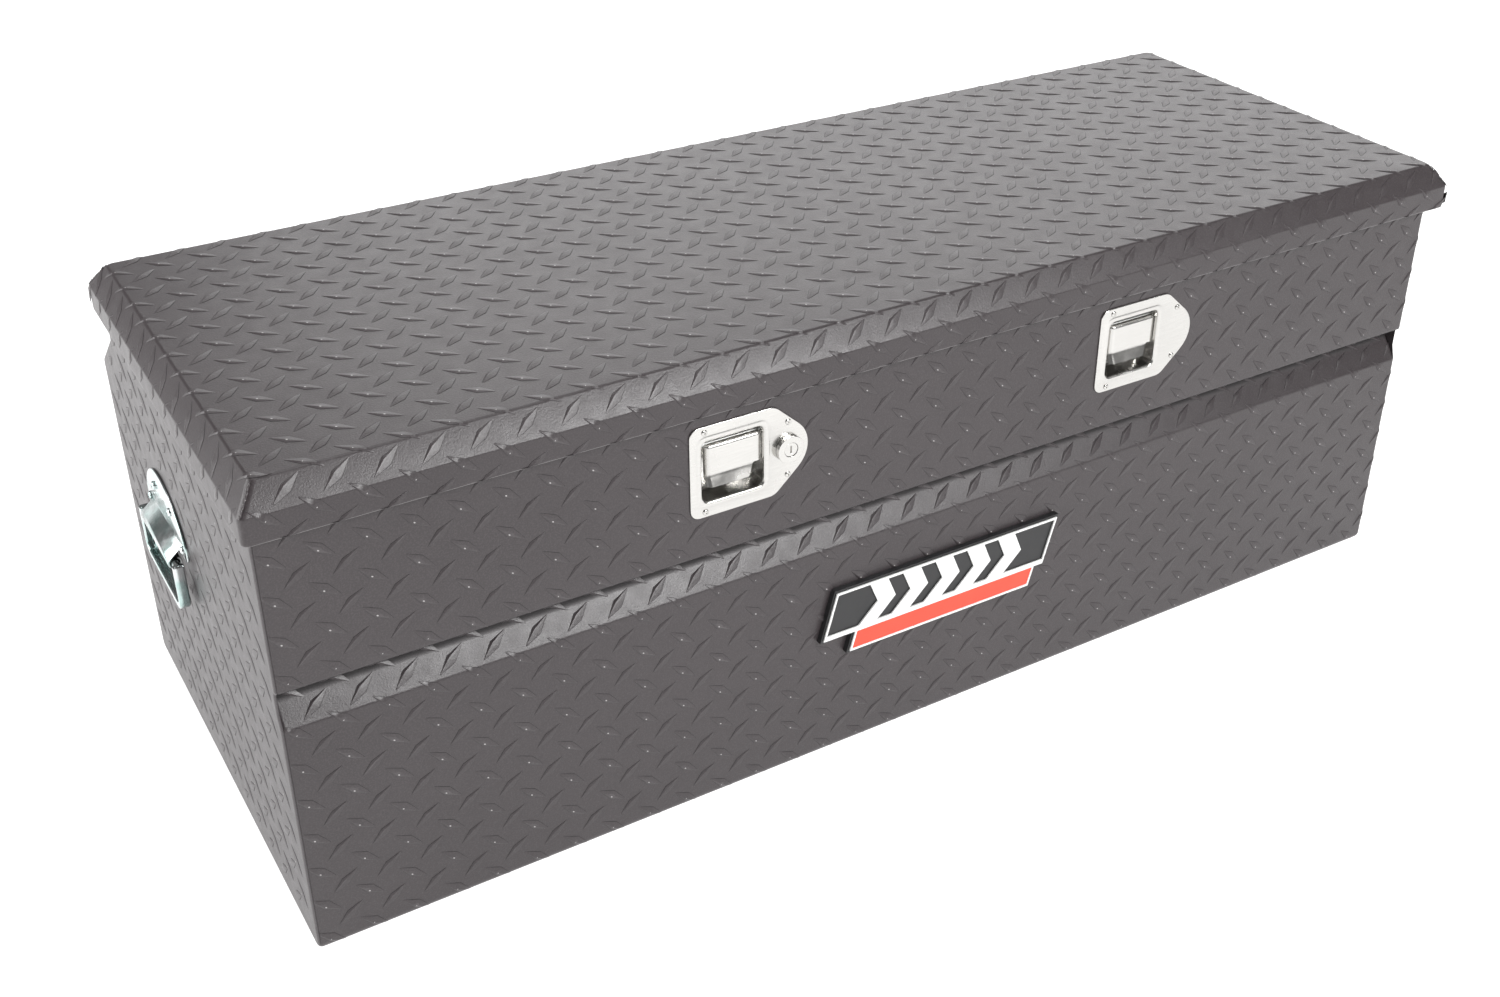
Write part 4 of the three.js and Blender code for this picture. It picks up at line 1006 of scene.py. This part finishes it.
def barrel_paths():
    """The folded and rolled strip's inner and outer lines, as (out from the end, height over the axis)."""
    fold = Vector((HANDLE_T * 0.5, FOLD_HEIGHT))
    centre = Vector((BARREL_OUT, 0))
    to_centre = centre - fold
    offset = math.asin(BARREL_R / to_centre.length)
    first = math.atan2(to_centre.y, to_centre.x) + offset + math.pi / 2
    roll = []
    for k in range(BARREL_STEPS + 1):
        angle = first - BARREL_TURN * k / BARREL_STEPS
        roll.append(centre + Vector((math.cos(angle), math.sin(angle))) * BARREL_R)
    path = rounded_path([(fold.x, fold.y + 4 * MM), (*fold, 5 * MM), roll[0]]) + roll[1:]
    headings = [heading(path, i) for i in range(len(path))]
    return path, [p + Vector((ahead.y, -ahead.x)) * BARREL_T for p, ahead in zip(path, headings)]


def handle_frame(side):
    """Arched base plate, with its middle folded outwards and rolled into the barrel."""
    s = sign(side)
    plate_lo, plate_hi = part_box(f"handle_plate_{side}")
    bail_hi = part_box(f"handle_bail_{side}")[1]
    axis_z = bail_hi[2] - AXIS_DROP
    mid_y = (plate_lo[1] + plate_hi[1]) / 2
    outline = arch_outline((plate_hi[1] - plate_lo[1]) / 2, plate_hi[2] - axis_z)
    back = END_X + HANDLE_GAP
    loops = [(HANDLE_EDGE_R, back), (0, back + HANDLE_EDGE_R)]
    loops += [(inset, back + HANDLE_T - fall) for inset, fall in quarter(HANDLE_EDGE_R, 3)]
    rows = []
    for inset, x in loops:
        rows.append([Vector((s * x, mid_y + p.x, axis_z + p.y)) for p in inset_outline(outline, inset)])
    bm = bmesh.new()
    loft(bm, rows, close_first=True, close_last=True)
    path, outside = barrel_paths()
    ring = path + outside[::-1]
    last = len(ring) - 1
    rows = []
    for y, narrow in ((-BARREL_HALF, 0.15), (-BARREL_HALF + 0.5 * MM, 0), (BARREL_HALF - 0.5 * MM, 0),
                      (BARREL_HALF, 0.15)):
        section = [point.lerp(ring[last - k], narrow) for k, point in enumerate(ring)]
        rows.append([Vector((s * (END_X + p.x), mid_y + y, axis_z + p.y)) for p in section])
    loft(bm, rows)
    for row in (rows[0], rows[-1]):
        verts = [bm.verts.new(p) for p in row]
        for k in range(len(path) - 1):
            bm.faces.new((verts[k], verts[k + 1], verts[last - 1 - k], verts[last - k]))
    bmesh.ops.remove_doubles(bm, verts=bm.verts, dist=1e-6)
    obj = shell(f"handle_frame_{side}", bm, ZINC, HANDLE_SHARP)
    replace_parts(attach(obj, "chest"), f"handle_plate_{side}")


def sweep(bm, spine, section, axis):
    """Sweeps a closed (p, q) section along a spine; p runs along axis. Its two ends are drawn in."""
    loops = []
    for i, point in enumerate(spine):
        out = axis.cross(heading(spine, i)).normalized()
        scale = 0.7 if i in (0, len(spine) - 1) else 1
        loops.append([point + axis * (p * scale) + out * (q * scale) for p, q in section])
    loft(bm, loops, close_first=True, close_last=True)


def handle_grip(side):
    """The swinging bail: a round rod through the barrel, and a grooved strip bent into arms and grip."""
    lo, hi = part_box(f"handle_bail_{side}")
    axis_z = hi[2] - AXIS_DROP
    x = sign(side) * (END_X + BARREL_OUT)
    y0, y1 = lo[1] + 4.5 * MM, hi[1] - 4.5 * MM
    arm_top, bottom = axis_z + 3.5 * MM, lo[2] + 5 * MM
    flat = rounded_path([(y0, arm_top), (y0, bottom, 13 * MM), (y1, bottom, 13 * MM), (y1, arm_top)], 12)
    flat = [flat[0], flat[0].lerp(flat[1], 0.03), flat[0].lerp(flat[1], 0.1)] + flat[1:-1] + [
        flat[-1].lerp(flat[-2], 0.1), flat[-1].lerp(flat[-2], 0.03), flat[-1]]
    spine = [Vector((x, p.x, p.y)) for p in flat]
    half = [tuple(value * MM for value in corner) for corner in GRIP_HALF]
    mirrored = [(-p, q, radius) for p, q, radius in half]
    section = rounded_polygon([mirrored[0], *half, *mirrored[:0:-1]], 4)
    bm = bmesh.new()
    sweep(bm, spine, section, Vector((1, 0, 0)))
    rod = [Vector((x, y, axis_z)) for y in (y0, y0 + 8 * MM, y1 - 8 * MM, y1)]
    tube(bm, rod, [4 * MM] * len(rod), 20)
    obj = shell(f"handle_grip_{side}", bm, ZINC, HANDLE_SHARP)
    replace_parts(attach(obj, f"bail_body_{side}"), f"handle_bail_{side}")


# ---- carried-over nodes
def dress(names, mat, bevel=0.4 * MM):
    """Gives CAD nodes a procedural material and small rounded edges, with their faces kept flat."""
    for name in names:
        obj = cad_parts[name]
        obj.data.materials.clear()
        obj.data.materials.append(mat)
        modify(obj, "WELD", merge_threshold=1e-5)
        modify(obj, "BEVEL", width=bevel, segments=2, limit_method="ANGLE", angle_limit=math.radians(35),
               harden_normals=True, use_clamp_overlap=True)


def both(*names):
    return [f"{name}_{side}" for name in names for side in SIDES]


# ---- stage
FLOOR_GLOW = 0.85
WORLD_STRENGTH = 0.17
# name, place, target, size and power in watts
SOFTBOXES = (
    ("left_window", (-3.2, 0.6, 1.3), (0, 0, 0.2), (2.4, 1.8), 105),
    ("back_window", (2.41, 3.17, 2.35), (-0.29, 0.17, 0.5), (5.7, 2.6), 112),
    ("top_window", (-0.2, 0.3, 3.2), (0, 0, 0.5), (2.0, 2.0), 30),
    ("key_lamp", (1.0, -3.6, 2.85), (-0.38, -0.28, 0.4), (2.5, 1.0), 200),
)
CAMERA_ANGLES = (-31.96, 30.15, 0.6)     # azimuth, elevation and roll in degrees
CAMERA_TARGET, CAMERA_DISTANCE = Vector((-0.0285, -0.0403, 0.2410)), 2.0312
CAMERA_LENS, CAMERA_SENSOR, CAMERA_SHIFT = 42.19, 36, (-0.0297, -0.0358)


def stage():
    bm = bmesh.new()
    bmesh.ops.create_grid(bm, x_segments=8, y_segments=8, size=14)
    n = Nodes("studio_floor")
    cloudy = n.noise(3, 2)
    n.feed(n.shader.inputs["Emission Color"], n.mix(cloudy, (0.98, 0.98, 0.98), (1, 1, 1)))
    color = n.mix(cloudy, (0.44, 0.44, 0.44), (0.47, 0.47, 0.47))
    floor = new_object("studio_floor", bm, n.finish(color, 0.6, Emission_Strength=FLOOR_GLOW))
    floor.location.z = -0.2 * MM
    world = bpy.data.worlds.new("studio")
    world.use_nodes = True
    background = world.node_tree.nodes["Background"]
    background.inputs["Color"].default_value = (1, 1, 1, 1)
    background.inputs["Strength"].default_value = WORLD_STRENGTH
    bpy.context.scene.world = world
    bpy.context.scene.view_settings.view_transform = "Standard"


def softbox(name, place, target, size, power):
    data = bpy.data.lights.new(name, "AREA")
    data.shape = "RECTANGLE"
    data.size, data.size_y = size
    data.energy = power
    light = bpy.data.objects.new(name, data)
    light.location = place
    way = Vector(target) - Vector(place)
    light.rotation_mode = "QUATERNION"
    light.rotation_quaternion = way.to_track_quat("-Z", "Y")
    bpy.context.scene.collection.objects.link(light)


def camera():
    azimuth, elevation, roll = (math.radians(angle) for angle in CAMERA_ANGLES)
    back = Vector((math.sin(azimuth) * math.cos(elevation),
                   -math.cos(azimuth) * math.cos(elevation), math.sin(elevation)))
    right = Vector((0, 0, 1)).cross(back).normalized()
    up = back.cross(right)
    tilted_right = right * math.cos(roll) + up * math.sin(roll)
    tilted_up = up * math.cos(roll) - right * math.sin(roll)
    data = bpy.data.cameras.new("camera")
    data.sensor_width = CAMERA_SENSOR
    data.lens = CAMERA_LENS
    data.shift_x, data.shift_y = CAMERA_SHIFT
    cam = bpy.data.objects.new("camera", data)
    turn = Matrix((tilted_right, tilted_up, back)).transposed().to_4x4()
    cam.matrix_world = Matrix.Translation(CAMERA_TARGET + back * CAMERA_DISTANCE) @ turn
    bpy.context.scene.collection.objects.link(cam)
    bpy.context.scene.camera = cam


# ---- build
# The order matters: the lozenges and the welds draw on the same random numbers.
front_sheet()
rear_sheet()
for side in SIDES:
    end_sheet(side)
lid_sheet()
lid_welds()
for side in SIDES:
    latch_dish(side)
    paddle(side)
lock()
rivets()
for side in SIDES:
    handle_frame(side)
    handle_grip(side)
dress(["floor_panel", "rim_frame", "lid_stiffener"], COAT)
dress(["rim_seal"], RUBBER, 1.5 * MM)
dress(["hinge_body_leaf", "hinge_lid_leaf", "hinge_pin", "lock_cam"], STEEL, 0.2 * MM)
dress(["lock_housing", "lock_plug"], STAINLESS, 0.3 * MM)
dress(both("paddle_pin", "latch_case", "latch_bolt", "striker", "strut_bracket_body", "strut_bracket_lid",
           "strut_rod"), STEEL)
dress(both("strut_cylinder"), STRUT_BLACK)
dress(["badge_plate"], BADGE_BLACK)
dress(["badge_face"], BADGE_WHITE)
dress(["badge_stripe"], BADGE_RED)
stage()
for settings in SOFTBOXES:
    softbox(*settings)
camera()
